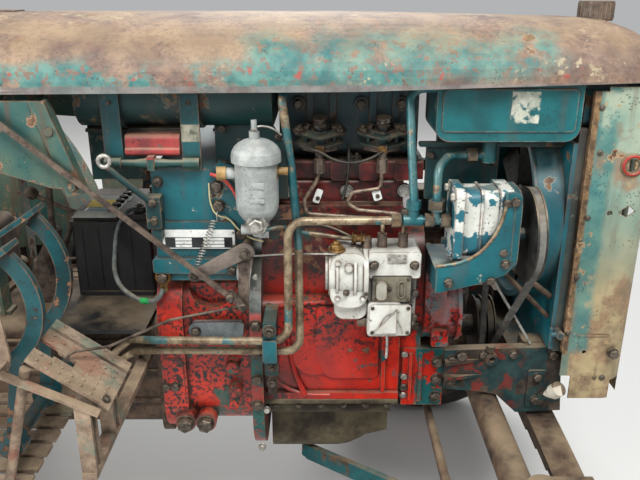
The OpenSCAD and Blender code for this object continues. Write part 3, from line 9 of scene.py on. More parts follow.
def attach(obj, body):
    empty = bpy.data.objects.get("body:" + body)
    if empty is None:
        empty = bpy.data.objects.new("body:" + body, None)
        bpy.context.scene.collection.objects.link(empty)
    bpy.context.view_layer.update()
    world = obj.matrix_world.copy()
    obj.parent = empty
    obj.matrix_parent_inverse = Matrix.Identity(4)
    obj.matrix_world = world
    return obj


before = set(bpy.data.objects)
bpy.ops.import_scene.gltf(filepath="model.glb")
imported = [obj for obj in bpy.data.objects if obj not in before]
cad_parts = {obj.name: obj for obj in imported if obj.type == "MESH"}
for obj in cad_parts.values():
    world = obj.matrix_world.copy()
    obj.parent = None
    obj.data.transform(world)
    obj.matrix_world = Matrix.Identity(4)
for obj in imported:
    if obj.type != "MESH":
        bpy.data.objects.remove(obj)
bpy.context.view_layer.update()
rng = random.Random(7)

# Stations in metres, as in the part: front axle, rear axle and the first cylinder
WHEELBASE = 1.646
FRONT_R = 0.325
REAR_R = 0.56
REAR_X = -(WHEELBASE + FRONT_R - REAR_R) / 2
FRONT_X = REAR_X + WHEELBASE
ENG_X = FRONT_X - 0.346

# Camera at the photograph's place: beside the engine, looking level across it and down
scene = bpy.context.scene
scene.view_settings.view_transform = "Standard"
camera_data = bpy.data.cameras.new("photo_camera")
camera_data.sensor_width = 36
camera_data.lens = 39.375
camera = bpy.data.objects.new("photo_camera", camera_data)
camera.location = (ENG_X, -1.42, 1.34)
camera.rotation_euler = (math.radians(70), 0, 0)
scene.collection.objects.link(camera)
scene.camera = camera


def mesh_from(name, bm):
    mesh = bpy.data.meshes.new(name)
    bm.to_mesh(mesh)
    bm.free()
    return mesh


def new_material(name, roughness, metallic):
    material = bpy.data.materials.new(name)
    material.use_nodes = True
    shader = material.node_tree.nodes["Principled BSDF"]
    shader.inputs["Roughness"].default_value = roughness
    shader.inputs["Metallic"].default_value = metallic
    return material, material.node_tree, shader


# Floor and light
def make_floor():
    bm = bmesh.new()
    bmesh.ops.create_grid(bm, x_segments=2, y_segments=2, size=9)
    mesh = mesh_from("floor", bm)
    floor = bpy.data.objects.new("floor", mesh)
    scene.collection.objects.link(floor)
    material, _, shader = new_material("pale_floor", 0.9, 0)
    shader.inputs["Base Color"].default_value = (0.62, 0.62, 0.6, 1)
    mesh.materials.append(material)


def area_light(name, place, target, size, power):
    data = bpy.data.lights.new(name, "AREA")
    data.shape = "DISK"
    data.size = size
    data.energy = power
    lamp = bpy.data.objects.new(name, data)
    lamp.location = place
    lamp.rotation_euler = (Vector(target) - Vector(place)).to_track_quat("-Z", "Y").to_euler()
    scene.collection.objects.link(lamp)


make_floor()
area_light("key", (1.2, -2.9, 5.0), (0.4, 0, 0.7), 2.2, 285)
area_light("side", (-3.2, -2.6, 2.6), (0, 0, 0.8), 2.5, 180)
area_light("back", (0.5, 3.6, 3.4), (0, 0, 0.8), 2.5, 110)
world = bpy.data.worlds.new("studio")
world.use_nodes = True
background = world.node_tree.nodes["Background"].inputs
background["Color"].default_value = (0.93, 0.95, 0.97, 1)
background["Strength"].default_value = 0.48
scene.world = world


# Node trees
def add(tree, kind, inputs=None, **settings):
    made = tree.nodes.new(kind)
    for key, value in settings.items():
        setattr(made, key, value)
    for key, value in (inputs or {}).items():
        if isinstance(value, bpy.types.NodeSocket):
            tree.links.new(value, made.inputs[key])
        else:
            made.inputs[key].default_value = value
    return made


def math_node(tree, operation, a, b, clamp=False):
    return add(tree, "ShaderNodeMath", {0: a, 1: b}, operation=operation, use_clamp=clamp).outputs[0]


def times(tree, a, b):
    return math_node(tree, "MULTIPLY", a, b)


def vector_node(tree, operation, a, b, output="Vector"):
    return add(tree, "ShaderNodeVectorMath", {0: a, 1: b}, operation=operation).outputs[output]


def step_between(tree, value, low, high):
    span = {"Value": value, "From Min": low, "From Max": high}
    return add(tree, "ShaderNodeMapRange", span, interpolation_type="SMOOTHSTEP").outputs["Result"]


def noise(tree, place, scale, detail, roughness=0.5, output="Fac"):
    values = {"Vector": place, "Scale": scale, "Detail": detail, "Roughness": roughness}
    return add(tree, "ShaderNodeTexNoise", values).outputs[output]


def own_place(tree, shift=(0, 0, 0)):
    return vector_node(tree, "ADD", add(tree, "ShaderNodeTexCoord").outputs["Object"], shift)


def linear(color):
    """A 0 to 255 screen colour as a linear colour with alpha. A socket stays as it is."""
    if not isinstance(color, tuple):
        return color
    return tuple(((c / 255 + 0.055) / 1.055) ** 2.4 if c > 10 else c / 255 / 12.92 for c in color) + (1,)


def mix_color(tree, factor, a, b):
    return add(tree, "ShaderNodeMix", {0: factor, 6: linear(a), 7: linear(b)}, data_type="RGBA").outputs[2]


def open_group(name, inputs):
    """A node group, its inputs with a seed as the last one, and its own place shifted by the seed."""
    tree = bpy.data.node_groups.new(name, "ShaderNodeTree")
    for label, value in {**inputs, "Seed": 0.0}.items():
        kind = "NodeSocketFloat" if isinstance(value, float) else "NodeSocketColor"
        tree.interface.new_socket(label, in_out="INPUT", socket_type=kind).default_value = value
    given = add(tree, "NodeGroupInput").outputs
    return tree, given, own_place(tree, given["Seed"])


def close_group(tree, outputs):
    for label in outputs:
        kind = "NodeSocketColor" if label == "Color" else "NodeSocketFloat"
        tree.interface.new_socket(label, in_out="OUTPUT", socket_type=kind)
    add(tree, "NodeGroupOutput", outputs)
    return tree


def use_group(tree, group, **values):
    return add(tree, "ShaderNodeGroup", values, node_tree=group).outputs


# Paint chips: more of them on edges and in patches
def build_chips():
    tree, given, place = open_group("paint_chips", {"Scale": 30.0, "Amount": 0.3, "Edge": 0.3})
    bevel = add(tree, "ShaderNodeBevel", {"Radius": 0.004}, samples=4)
    flat = add(tree, "ShaderNodeNewGeometry").outputs["Normal"]
    edge = step_between(tree, vector_node(tree, "DOT_PRODUCT", bevel.outputs[0], flat, "Value"), 0.995, 0.82)
    patch = times(tree, math_node(tree, "SUBTRACT", noise(tree, place, 4.5, 3), 0.5), 0.7)
    level = math_node(tree, "ADD", noise(tree, place, given["Scale"], 7, 0.62), patch)
    level = math_node(tree, "ADD", level, times(tree, edge, given["Edge"]))
    line = math_node(tree, "SUBTRACT", 0.82, times(tree, given["Amount"], 0.5))
    above = math_node(tree, "SUBTRACT", level, line)
    bare = step_between(tree, above, 0, 0.012)
    return close_group(tree, {"Bare": bare, "Primer": step_between(tree, above, -0.035, -0.02),
                              "Height": math_node(tree, "SUBTRACT", 1, bare)})


# Dust on what faces up, run-down streaks, small dark specks, and painted shade with dirt in corners from ambient
# occlusion
def build_grime_and_shade():
    tree, given, place = open_group("grime_and_shade", {"Scale": 12.0})
    cloud = noise(tree, place, given["Scale"], 5, 0.6)
    normal = add(tree, "ShaderNodeNewGeometry").outputs["Normal"]
    up = step_between(tree, add(tree, "ShaderNodeSeparateXYZ", {0: normal}).outputs["Z"], 0.15, 0.95)
    streak = noise(tree, vector_node(tree, "MULTIPLY", place, (1, 1, 0.12)), 34, 4, 0.55)
    dots = add(tree, "ShaderNodeTexVoronoi", {"Vector": place, "Scale": 160}, feature="F1").outputs["Distance"]
    spread = step_between(tree, noise(tree, place, 22, 3), 0.5, 0.64)
    # Ambient occlusion: corners and crevices get painted shade, mixed with a dirt cloud
    hidden = add(tree, "ShaderNodeAmbientOcclusion", {"Distance": 0.03}, samples=4).outputs["AO"]
    corner = math_node(tree, "ADD", hidden, times(tree, math_node(tree, "SUBTRACT", cloud, 0.5), 0.9))
    return close_group(tree, {
        "Dust": times(tree, up, step_between(tree, cloud, 0.35, 0.62)),
        "Streak": step_between(tree, streak, 0.52, 0.66),
        "Speck": times(tree, step_between(tree, dots, 0.34, 0.2), spread),
        "Cloud": cloud,
        "CreviceShadeAndDirt": step_between(tree, corner, 0.82, 0.3),
    })


# Rust with light and dark bloom
def build_rust():
    tree, given, place = open_group("rust_bloom", {"Scale": 25.0, "Dark": (0.06, 0.035, 0.025, 1),
                                                   "Light": (0.3, 0.16, 0.09, 1)})
    bloom = noise(tree, place, given["Scale"], 9, 0.68)
    color = mix_color(tree, step_between(tree, bloom, 0.32, 0.7), given["Dark"], given["Light"])
    return close_group(tree, {"Color": color, "Height": bloom})


CHIPS = build_chips()
GRIME_AND_SHADE = build_grime_and_shade()
RUST = build_rust()


def finish_shader(tree, shader, color, covers, height, strength, depth):
    """Lays masked colours over a base and adds the bumps."""
    for mask, cover in covers:
        color = mix_color(tree, mask, color, cover)
    bump = add(tree, "ShaderNodeBump", {"Height": height, "Strength": strength, "Distance": depth})
    tree.links.new(color, shader.inputs["Base Color"])
    tree.links.new(bump.outputs["Normal"], shader.inputs["Normal"])


# Paint over primer over rusty metal, with dust, streaks, specks and painted shade with dirt in corners
def painted(name, paint, shade=None, primer=(150, 150, 138), chips=0.3, edge=0.3, scale=30, dust=0.4, streak=0.2,
            speck=0.6, dust_color=(176, 160, 132), dark=(38, 24, 22), roughness=0.48, seed=0):
    material, tree, shader = new_material(name, roughness, 0)
    wear = use_group(tree, CHIPS, Scale=scale, Amount=chips, Edge=edge, Seed=seed)
    dirt_and_shade = use_group(tree, GRIME_AND_SHADE, Scale=12, Seed=seed + 3)
    rust = use_group(tree, RUST, Scale=28, Seed=seed)
    if callable(paint):
        base = paint(tree)
    else:
        base = mix_color(tree, step_between(tree, dirt_and_shade["Cloud"], 0.3, 0.7), paint, shade)
    rough = step_between(tree, wear["Bare"], -1.2, 1.4)
    tree.links.new(math_node(tree, "ADD", rough, roughness - 0.45, clamp=True), shader.inputs["Roughness"])
    height = math_node(tree, "ADD", times(tree, wear["Height"], 0.6), times(tree, rust["Height"], 0.5))
    finish_shader(tree, shader, base, (
        (times(tree, dirt_and_shade["Speck"], speck), dark),
        (wear["Primer"], primer),
        (wear["Bare"], rust["Color"]),
        # Painted shade with oily dirt in corners and crevices
        (times(tree, dirt_and_shade["CreviceShadeAndDirt"], 0.82), (34, 26, 24)),
        (times(tree, dirt_and_shade["Streak"], streak), (96, 64, 46)),
        (times(tree, dirt_and_shade["Dust"], dust), dust_color),
    ), height, 0.35, 0.002)
    return material


# Bare rusty casting or plate, also used for plain plastic, rubber and enamel
def rusty(name, dark, light, scale=25, dust=0.5, metallic=0.25, roughness=0.7, seed=0, depth=0.002, tint=None):
    material, tree, shader = new_material(name, roughness, metallic)
    rust = use_group(tree, RUST, Scale=scale, Dark=linear(dark), Light=linear(light), Seed=seed)
    dirt_and_shade = use_group(tree, GRIME_AND_SHADE, Scale=9, Seed=seed + 1)
    base = tint(tree, rust["Color"]) if tint else rust["Color"]
    finish_shader(tree, shader, base, (
        (times(tree, dirt_and_shade["Speck"], 0.5), (46, 30, 24)),
        # Painted shade with dirt in corners and crevices
        (times(tree, dirt_and_shade["CreviceShadeAndDirt"], 0.7), (28, 22, 20)),
        (times(tree, dirt_and_shade["Dust"], dust), (170, 150, 120)),
    ), rust["Height"], 0.4, depth)
    return material


# Masks over an object, all from its own coordinates, as functions of the node tree
FAR = 9000


def spots(scale, low, high, seed=0):
    """Mask of a cloud between two levels."""
    return lambda tree: step_between(tree, noise(tree, own_place(tree, (seed,) * 3), scale, 6, 0.62), low, high)


def box(x=None, y=None, z=None, soft=1, wander=0, scale=14, seed=0):
    """Mask of a box in millimetres, X from the first cylinder, with a ragged edge where wander is given."""
    def build(tree):
        place = own_place(tree)
        if wander:
            ragged = noise(tree, own_place(tree, (seed,) * 3), scale, 6, 0.65, "Color")
            centred = vector_node(tree, "SUBTRACT", ragged, (0.5, 0.5, 0.5))
            place = vector_node(tree, "ADD", place, vector_node(tree, "MULTIPLY", centred, (wander / 1000,) * 3))
        parts = add(tree, "ShaderNodeSeparateXYZ", {0: place}).outputs
        mask = 1
        for axis, span, start in (("X", x, ENG_X), ("Y", y, 0), ("Z", z, 0)):
            if span:
                low, high = (start + side / 1000 for side in span)
                rise = step_between(tree, parts[axis], low - soft / 1000, low + soft / 1000)
                fall = step_between(tree, parts[axis], high + soft / 1000, high - soft / 1000)
                mask = times(tree, times(tree, rise, fall), mask)
        return mask
    return build


def joined(operation, masks):
    """One mask of several, each a function or a plain strength."""
    def build(tree):
        found = masks[0](tree)
        for mask in masks[1:]:
            found = math_node(tree, operation, found, mask(tree) if callable(mask) else mask)
        return found
    return build


def all_of(*masks):
    return joined("MULTIPLY", masks)


def any_of(*masks):
    return joined("MAXIMUM", masks)


# Colours that change over one sheet or casting, as functions of the node tree
def cloud(a, b, scale=12, seed=0):
    return lambda tree: mix_color(tree, spots(scale, 0.34, 0.66, seed)(tree), a, b)


def layered(*layers):
    """Layers from the bottom up, each a colour and the masks that bound it."""
    def build(tree, base=None):
        for color, *masks in layers:
            top = color(tree) if callable(color) else color
            base = mix_color(tree, all_of(*masks)(tree), base, top) if masks else top
        return base
    return build


# What is left of the bonnet's teal, in its lower part and along its bend
BONNET_TEAL = any_of(
    all_of(box(x=(-FAR, 180), z=(-FAR, 1222), soft=10, wander=50, scale=8, seed=4), spots(12, 0.45, 0.53, 5)),
    all_of(box(x=(-120, 400), z=(1196, 1258), soft=22, wander=120, scale=7, seed=6), spots(9, 0.36, 0.46, 8)))
# Rust with dark and light spots, the teal, freckles on it, pale and pink spots, grey lip
BONNET_COAT = layered(
    (cloud((104, 84, 76), (146, 122, 102), 12, 1),),
    ((74, 60, 56), spots(120, 0.46, 0.6, 15), 0.4),
    ((156, 108, 78), spots(30, 0.56, 0.7, 2), 0.35),
    (cloud((34, 98, 98), (90, 132, 122), 22, 3), BONNET_TEAL),
    ((120, 84, 70), spots(70, 0.54, 0.6, 7), BONNET_TEAL, 0.8),
    ((184, 172, 138), spots(44, 0.56, 0.62, 11), spots(7, 0.5, 0.62, 12), 0.7),
    ((150, 76, 66), box(z=(-FAR, 1215), soft=12, wander=40), spots(38, 0.63, 0.67, 6)),
    (cloud((88, 84, 84), (134, 128, 124), 20), box(z=(-FAR, 1184), soft=2, wander=8, seed=7), 0.8))
# Faded green over ochre, brown clouds, teal rear edge and band, rusty seal
SHELL_COAT = layered(
    (cloud((118, 146, 132), (158, 168, 146), 9, 2),),
    (cloud((150, 138, 104), (178, 158, 118), 11, 3), box(z=(-FAR, 850), soft=120, wander=150, scale=5, seed=3)),
    (cloud((108, 84, 66), (142, 108, 82), 22, 4), spots(12, 0.5, 0.62, 6), 0.75),
    (cloud((38, 100, 98), (100, 122, 110), 18, 8), box(x=(-FAR, 492), soft=3, wander=14, seed=9), 0.75),
    (cloud((34, 104, 106), (84, 134, 124), 20, 8), box(x=(487, 522), z=(660, FAR), soft=8, wander=24, seed=4),
     spots(14, 0.4, 0.52, 9), 0.85),
    (cloud((70, 52, 38), (140, 110, 74), 70, 5), box(x=(470, 487), z=(655, FAR), soft=2, wander=7, scale=60, seed=2)))
# Red, oily top, green side, dull spots, oil specks, teal drips, painted pink and grey-blue highlight on the front
# plate
ENGINE_COAT = layered(
    (cloud((200, 40, 20), (158, 25, 14), 9, 1),),
    (cloud((24, 13, 15), (112, 28, 24), 19, 3), box(z=(795, FAR), soft=30, wander=90, scale=9, seed=2), 0.92),
    (cloud((20, 40, 38), (36, 62, 56), 20, 6), box(x=(-FAR, -14), y=(-FAR, -130), z=(872, 948), soft=4, wander=10)),
    ((104, 28, 24), spots(7, 0.56, 0.62, 4), 0.8),
    ((34, 22, 22), spots(105, 0.505, 0.535, 17), spots(17, 0.4, 0.5, 18),
     any_of(box(z=(664, FAR), soft=50, wander=150, scale=9, seed=8), box(x=(-FAR, -66), soft=14, wander=40, seed=3))),
    ((12, 82, 82),
     any_of(all_of(box(x=(196, 262), z=(-FAR, 700), soft=3, wander=26, seed=5), spots(24, 0.46, 0.5, 6)),
            all_of(box(x=(70, 150), z=(560, 660), soft=12, wander=30), spots(20, 0.56, 0.58, 9)))),
    # Painted highlight: pink and grey-blue clouds on the front plate of the timing case
    (cloud((96, 124, 128), (176, 96, 90), 22, 8), box(x=(200, 281), z=(655, 830), soft=4, wander=20),
     spots(17, 0.46, 0.56, 7)))
FLANGE_COAT = layered(
    (cloud((70, 74, 70), (122, 126, 120), 30, 2),),
    ((180, 84, 78), box(z=(690, 745), soft=6, wander=20)),
    (layered(((18, 82, 76),), ((146, 50, 40), spots(26, 0.48, 0.52, 5))), box(z=(-FAR, 690), soft=8, wander=30)))
# Red, oil specks, green spots, the engine's flange, worn bosses, grey inspection plate
CLUTCH_COAT = layered(
    (cloud((202, 50, 28), (156, 29, 18), 10, 11),),
    ((38, 26, 24), spots(125, 0.5, 0.53, 12), spots(13, 0.36, 0.48, 13)),
    ((30, 84, 74), spots(11, 0.56, 0.6, 14), 0.9),
    (FLANGE_COAT, box(x=(-139, FAR))),
    (cloud((110, 74, 66), (160, 92, 80), 40, 6), box(x=(-300, -205), y=(-FAR, -199), z=(476, 530), soft=1.5), 0.75),
    (cloud((90, 112, 122), (150, 158, 160), 20, 6), box(x=(-250, -149), y=(-198, -190), z=(690, 729), soft=0.6)))
# Oily red head, teal cover and its dark top
HEAD_COAT = layered(
    (cloud((22, 13, 16), (116, 30, 28), 20, 2),),
    (cloud((9, 42, 48), (14, 62, 68), 10, 1), box(z=(1030, FAR), wander=3)),
    ((26, 24, 24), box(z=(1190.5, FAR), soft=0.5)))
# Off-white with teal spots, teal bracket
HYDRAULIC_COAT = layered(
    (cloud((212, 212, 204), (186, 188, 178), 18, 2),),
    ((24, 96, 110), spots(26, 0.495, 0.515, 4)),
    (cloud((10, 88, 96), (8, 66, 74), 12, 3), any_of(box(z=(-FAR, 884.5), soft=0.5), box(x=(329.5, FAR), soft=0.5))))
# Off-white, worn plate, dark stubs and shaft
PUMP_COAT = layered(
    (cloud((208, 208, 200), (184, 182, 172), 22, 1),),
    (cloud((128, 124, 110), (160, 156, 142), 40), box(x=(88, 150), z=(793, 838)), 0.8),
    (cloud((62, 54, 50), (120, 100, 84), 60, 3),
     any_of(box(z=(889.5, FAR), soft=0.5), box(x=(-FAR, 87), z=(730, 751.5), soft=0.5))))
# Tank, straps, spindle, worn strap end, red pad
TANK_COAT = layered(
    (cloud((8, 48, 48), (16, 66, 64), 8, 1),),
    (cloud((16, 78, 84), (10, 58, 62), 16, 2),
     any_of(*(box(x=(x, x + 35), z=(1020, FAR)) for x in (-381, -244)))),
    (cloud((12, 54, 52), (40, 78, 70), 40, 2), box(y=(-FAR, -204), z=(1020, 1058), soft=0.5)),
    (cloud((110, 112, 98), (168, 164, 144), 40, 3), box(x=(-244, -209), y=(-FAR, -180), z=(1082, 1112), wander=4)),
    (cloud((112, 46, 48), (168, 60, 56), 20, 5), box(x=(-344, -246), y=(-FAR, -138), z=(1054, 1095), soft=0.7)))
RADIATOR_COAT = layered(
    (cloud((16, 104, 116), (8, 80, 90), 8, 1),),
    (cloud((30, 56, 58), (62, 72, 66), 30, 2), box(x=(461.5, 499), z=(656, 1100), soft=0.5)),
    (cloud((60, 50, 44), (120, 104, 88), 40), box(z=(1274, FAR), soft=0.5)))
HEADER_COAT = layered(
    (cloud((10, 98, 102), (7, 72, 76), 10, 2),),
    (cloud((150, 156, 140), (196, 196, 180), 60, 4),
     box(x=(332, 381), y=(-FAR, -198), z=(1113, 1168), wander=7, scale=30), spots(40, 0.4, 0.5, 3)))
INJECTOR_COAT = layered(
    (cloud((8, 48, 50), (16, 66, 66), 20, 1),),
    (cloud((24, 20, 20), (62, 50, 44), 60), box(z=(1092, FAR))),
    (cloud((52, 44, 40), (110, 98, 86), 60, 2), box(z=(-FAR, 1063))))

# Tints: layers over bare metal
# Dirt, teal spots, the clamp, blue pipes, rusty nuts, brown thin pipes
PIPE_TINT = layered(
    ((82, 64, 48), spots(90, 0.52, 0.62, 26), spots(22, 0.4, 0.6, 27), 0.75),
    (cloud((24, 98, 106), (76, 124, 122), 30, 22), spots(15, 0.56, 0.59, 21), 0.85),
    (cloud((10, 78, 82), (8, 60, 62), 30, 3), box(x=(-107, -81), y=(-261, -199), z=(667, 753), soft=0.5)),
    (cloud((20, 90, 98), (78, 112, 112), 24, 24),
     any_of(box(x=(-80, -20), y=(-240, -140), z=(890, FAR)), box(x=(190, FAR), z=(996, FAR), soft=6, wander=20),
            box(x=(142, 240), z=(936, FAR), soft=4, wander=16)), spots(16, 0.36, 0.42, 25)),
    (cloud((64, 48, 38), (128, 104, 78), 50, 7),
     any_of(*(box(x=(x, x + 16), z=(930, 970)) for x in (126, 184, 212)), box(x=(190, 226), z=(972, 988)),
            box(x=(268, 286), y=(-190, -150), z=(1030, 1066))), 0.85),
    (cloud((84, 66, 56), (150, 132, 112), 60, 28), box(x=(-40, 159), y=(-182, -140), z=(900, 1020))))
ARM_TINT = layered((cloud((10, 72, 78), (30, 98, 100), 24, 3), box(x=(-FAR, 198), y=(-FAR, 0), soft=6, wander=20),
                    spots(20, 0.4, 0.48, 5)))
CRANK_TINT = layered((cloud((140, 140, 138), (176, 176, 172), 30, 2),
                      box(x=(-150, -112), z=(826, 862), soft=4, wander=8)))
TREAD_TINT = layered(((140, 76, 60), spots(13, 0.55, 0.6, 35), 0.6), ((96, 124, 110), spots(9, 0.56, 0.64, 37), 0.6))
FILTER_TINT = layered((cloud((112, 86, 46), (166, 134, 82), 50),
                       any_of(box(x=(-FAR, -160.5), z=(1020, 1052), soft=0.5),
                              box(x=(-76, FAR), y=(-262, -238), z=(1028, 1052), soft=0.5))))
FRAME_TINT = layered(
    (cloud((8, 42, 46), (26, 70, 70), 30, 3), spots(13, 0.45, 0.5, 31), 0.85),
    ((120, 42, 34), box(x=(-FAR, 400), soft=30), spots(24, 0.55, 0.58, 33), 0.9),
    ((212, 206, 190), box(x=(452, 480), y=(-FAR, -192), z=(560, 590))))

# Materials
TEAL = painted("teal_paint", (5, 96, 104), (3, 70, 80), chips=0.28, edge=0.3, dust=0.1, roughness=0.42)
DARK_TEAL = painted("dark_teal_paint", (14, 60, 60), (8, 42, 44), primer=(90, 90, 76), chips=0.3, seed=2)
FADED_TEAL = painted("faded_teal_paint", (38, 86, 82), (90, 104, 86), primer=(150, 118, 92), chips=0.4, streak=0.5,
                     seed=4)
BONNET_PAINT = painted("bonnet_paint", BONNET_COAT, primer=(140, 128, 112), chips=0.2, edge=0.1, dust=0.35,
                       dust_color=(176, 152, 114), streak=0.3, roughness=0.66, seed=4)
SHELL_PAINT = painted("shell_paint", SHELL_COAT, primer=(166, 140, 104), chips=0.26, edge=0.2, streak=0.35,
                      roughness=0.6, seed=5)
RED = painted("red_paint", (178, 46, 34), (142, 36, 28), primer=(150, 60, 50), chips=0.26, edge=0.18, speck=0.9,
              scale=44, seed=6)
ENGINE_PAINT = painted("engine_paint", ENGINE_COAT, primer=(90, 34, 28), chips=0.24, edge=0.22, speck=0.9, scale=50,
                       dust=0.22, roughness=0.4, seed=6)
CLUTCH_PAINT = painted("clutch_paint", CLUTCH_COAT, primer=(110, 48, 40), chips=0.26, edge=0.24, speck=1, scale=80,
                       dust=0.2, roughness=0.4, seed=7)
HEAD_PAINT = painted("head_paint", HEAD_COAT, primer=(80, 60, 52), chips=0.24, edge=0.24, speck=0.8, dust=0.25,
                     seed=3)
PUMP_PAINT = painted("pump_paint", PUMP_COAT, primer=(130, 122, 106), chips=0.24, edge=0.3, speck=0.6, dust=0.2,
                     dark=(90, 80, 68), roughness=0.4, seed=8)
HYDRAULIC_PAINT = painted("hydraulic_paint", HYDRAULIC_COAT, primer=(120, 124, 112), chips=0.27, edge=0.34,
                          speck=0.7, seed=9)
TANK_PAINT = painted("tank_paint", TANK_COAT, primer=(80, 84, 74), chips=0.28, edge=0.26, seed=2)
HEADER_PAINT = painted("header_tank_paint", HEADER_COAT, chips=0.3, edge=0.3, seed=1)
INJECTOR_PAINT = painted("injector_paint", INJECTOR_COAT, chips=0.24, edge=0.3, seed=2.5)
PEDAL_PAINT = painted("pedal_paint", (14, 82, 88), (8, 50, 54), primer=(36, 30, 28), chips=0.42, edge=0.45, scale=46,
                      dust=0.25, speck=1, seed=16)
LEVER_PAINT = rusty("lever_grey", (84, 94, 98), (146, 152, 152), scale=16, dust=0.15, seed=17)
CRANK_STEEL = rusty("crank_steel", (84, 74, 68), (132, 120, 110), scale=16, dust=0.2, metallic=0.3, seed=18,
                    tint=CRANK_TINT)
KHAKI = rusty("khaki_metal", (90, 84, 70), (136, 130, 112), scale=20, dust=0.1, seed=20)
RADIATOR_PAINT = painted("radiator_paint", RADIATOR_COAT, primer=(110, 120, 112), chips=0.24, edge=0.25, dust=0.22,
                         seed=12)
PIPE_STEEL = rusty("pipe_steel", (92, 72, 54), (172, 154, 124), scale=44, roughness=0.42, dust=0.22, seed=9,
                   tint=PIPE_TINT)
FILTER_ALLOY = rusty("filter_alloy", (134, 138, 136), (172, 176, 172), scale=34, dust=0.2, metallic=0.1,
                     roughness=0.6, seed=3, tint=FILTER_TINT)
CASTING = rusty("rusty_casting", (50, 39, 33), (112, 90, 72), seed=5)
ARM_CASTING = rusty("arm_casting", (50, 39, 33), (112, 90, 72), seed=5.2, tint=ARM_TINT)
FRAME_CASTING = rusty("frame_casting", (42, 36, 32), (96, 82, 68), seed=5.5, tint=FRAME_TINT)
PAN_CASTING = rusty("oil_pan_casting", (48, 38, 28), (116, 106, 82), scale=11, seed=15)
STEEL = rusty("weathered_steel", (54, 44, 40), (122, 106, 92), scale=48, dust=0.2, metallic=0.35, seed=9)
PULLEY_STEEL = rusty("pulley_steel", (26, 26, 26), (70, 68, 62), scale=40, metallic=0.4, roughness=0.5, seed=19)
BOLT_STEEL = rusty("bolt_steel", (44, 38, 34), (112, 102, 90), scale=90, metallic=0.5, roughness=0.5, dust=0.3,
                   seed=29)
BRIGHT_STEEL = rusty("bright_steel", (132, 128, 120), (200, 198, 190), scale=80, metallic=0.55, roughness=0.4,
                     dust=0.2, seed=39)
BRASS = rusty("old_brass", (96, 70, 36), (164, 126, 72), scale=70, metallic=0.6, roughness=0.45, dust=0.2, seed=41)
TREAD_METAL = rusty("tread_metal", (104, 86, 70), (166, 144, 122), scale=30, metallic=0.1, seed=43, tint=TREAD_TINT)
RUBBER = rusty("dusty_rubber", (20, 20, 20), (52, 50, 46), scale=20, dust=0.6, metallic=0, roughness=0.85, seed=11)
BELT_RUBBER = rusty("belt_rubber", (70, 69, 66), (112, 110, 104), scale=36, dust=0.4, metallic=0, roughness=0.8,
                    seed=12)
CABLE_GREY = rusty("cable_grey", (62, 68, 68), (112, 118, 116), scale=50, dust=0.3, metallic=0, roughness=0.6,
                   seed=14)
BLACK = rusty("black_plastic", (14, 14, 15), (34, 34, 36), scale=14, dust=0.35, metallic=0, roughness=0.5, seed=13)
WHITE_ENAMEL = rusty("white_enamel", (206, 208, 204), (236, 236, 230), scale=40, dust=0.2, metallic=0, roughness=0.4,
                     seed=45, depth=0.0004)
YELLOW_ENAMEL = rusty("yellow_enamel", (206, 176, 30), (232, 204, 60), scale=40, dust=0.1, metallic=0, seed=50)
LABEL_GREY = rusty("label_grey", (128, 136, 130), (166, 170, 162), scale=30, dust=0.2, metallic=0, seed=51)
BLACK_ENAMEL = rusty("black_enamel", (18, 20, 22), (44, 46, 48), scale=60, dust=0.1, metallic=0, roughness=0.4,
                     seed=46, depth=0.0004)
GREEN_TAPE = rusty("green_tape", (16, 128, 60), (32, 164, 84), scale=40, dust=0.1, metallic=0, seed=47)
RED_CABLE = rusty("red_cable", (150, 40, 36), (200, 76, 66), scale=60, dust=0.2, metallic=0, seed=48)
CREAM_CABLE = rusty("cream_cable", (160, 150, 110), (206, 198, 156), scale=60, dust=0.2, metallic=0, seed=49)

NODE_MATERIALS = {
    "clutch_housing": CLUTCH_PAINT, "cover_housing": TEAL, "engine_block": ENGINE_PAINT, "oil_pan": PAN_CASTING,
    "cylinder_head": HEAD_PAINT, "injectors": INJECTOR_PAINT, "injection_pump": PUMP_PAINT,
    "fuel_filter": FILTER_ALLOY, "hydraulic_pump": HYDRAULIC_PAINT, "fan_drive": PULLEY_STEEL, "belts": BELT_RUBBER,
    "radiator": RADIATOR_PAINT, "front_frame": FRAME_CASTING, "grille_shell": SHELL_PAINT,
    "hydraulic_tank": HEADER_PAINT, "pipes": PIPE_STEEL, "fuel_tank": TANK_PAINT, "battery": BLACK,
    "cowl": FADED_TEAL, "control_rods": STEEL, "footboards": TREAD_METAL, "pedals": PEDAL_PAINT,
    "front_suspension": ARM_CASTING, "fenders": FADED_TEAL, "seat": FADED_TEAL, "bonnet": BONNET_PAINT,
    "steering_wheel": BLACK, "tyre": RUBBER, "rim": RED,
}
# Tyres and rims go by the first word of their names, and what isn't named is a plain casting
for node_name, node_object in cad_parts.items():
    chosen = NODE_MATERIALS.get(node_name) or NODE_MATERIALS.get(node_name.split("_")[0], CASTING)
    node_object.data.materials.clear()
    node_object.data.materials.append(chosen)


# New pieces, placed in millimetres with X from the first cylinder
RIGHT, LEFT, UP, DOWN = (0, -1, 0), (0, 1, 0), (0, 0, 1), (0, 0, -1)
SHARP_ANGLE = math.radians(32)  # faces that meet at more are shown with a sharp edge
BLOCK_EDGE_ANGLE = 0.9  # radians between the faces of an edge that is bevelled
PLATE_EDGE_ANGLE = 1.2


def at(x, y, z):
    return Vector((ENG_X + x / 1000, y / 1000, z / 1000))


def place_piece(name, data, body="chassis"):
    piece = bpy.data.objects.new(name, data)
    scene.collection.objects.link(piece)
    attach(piece, body)


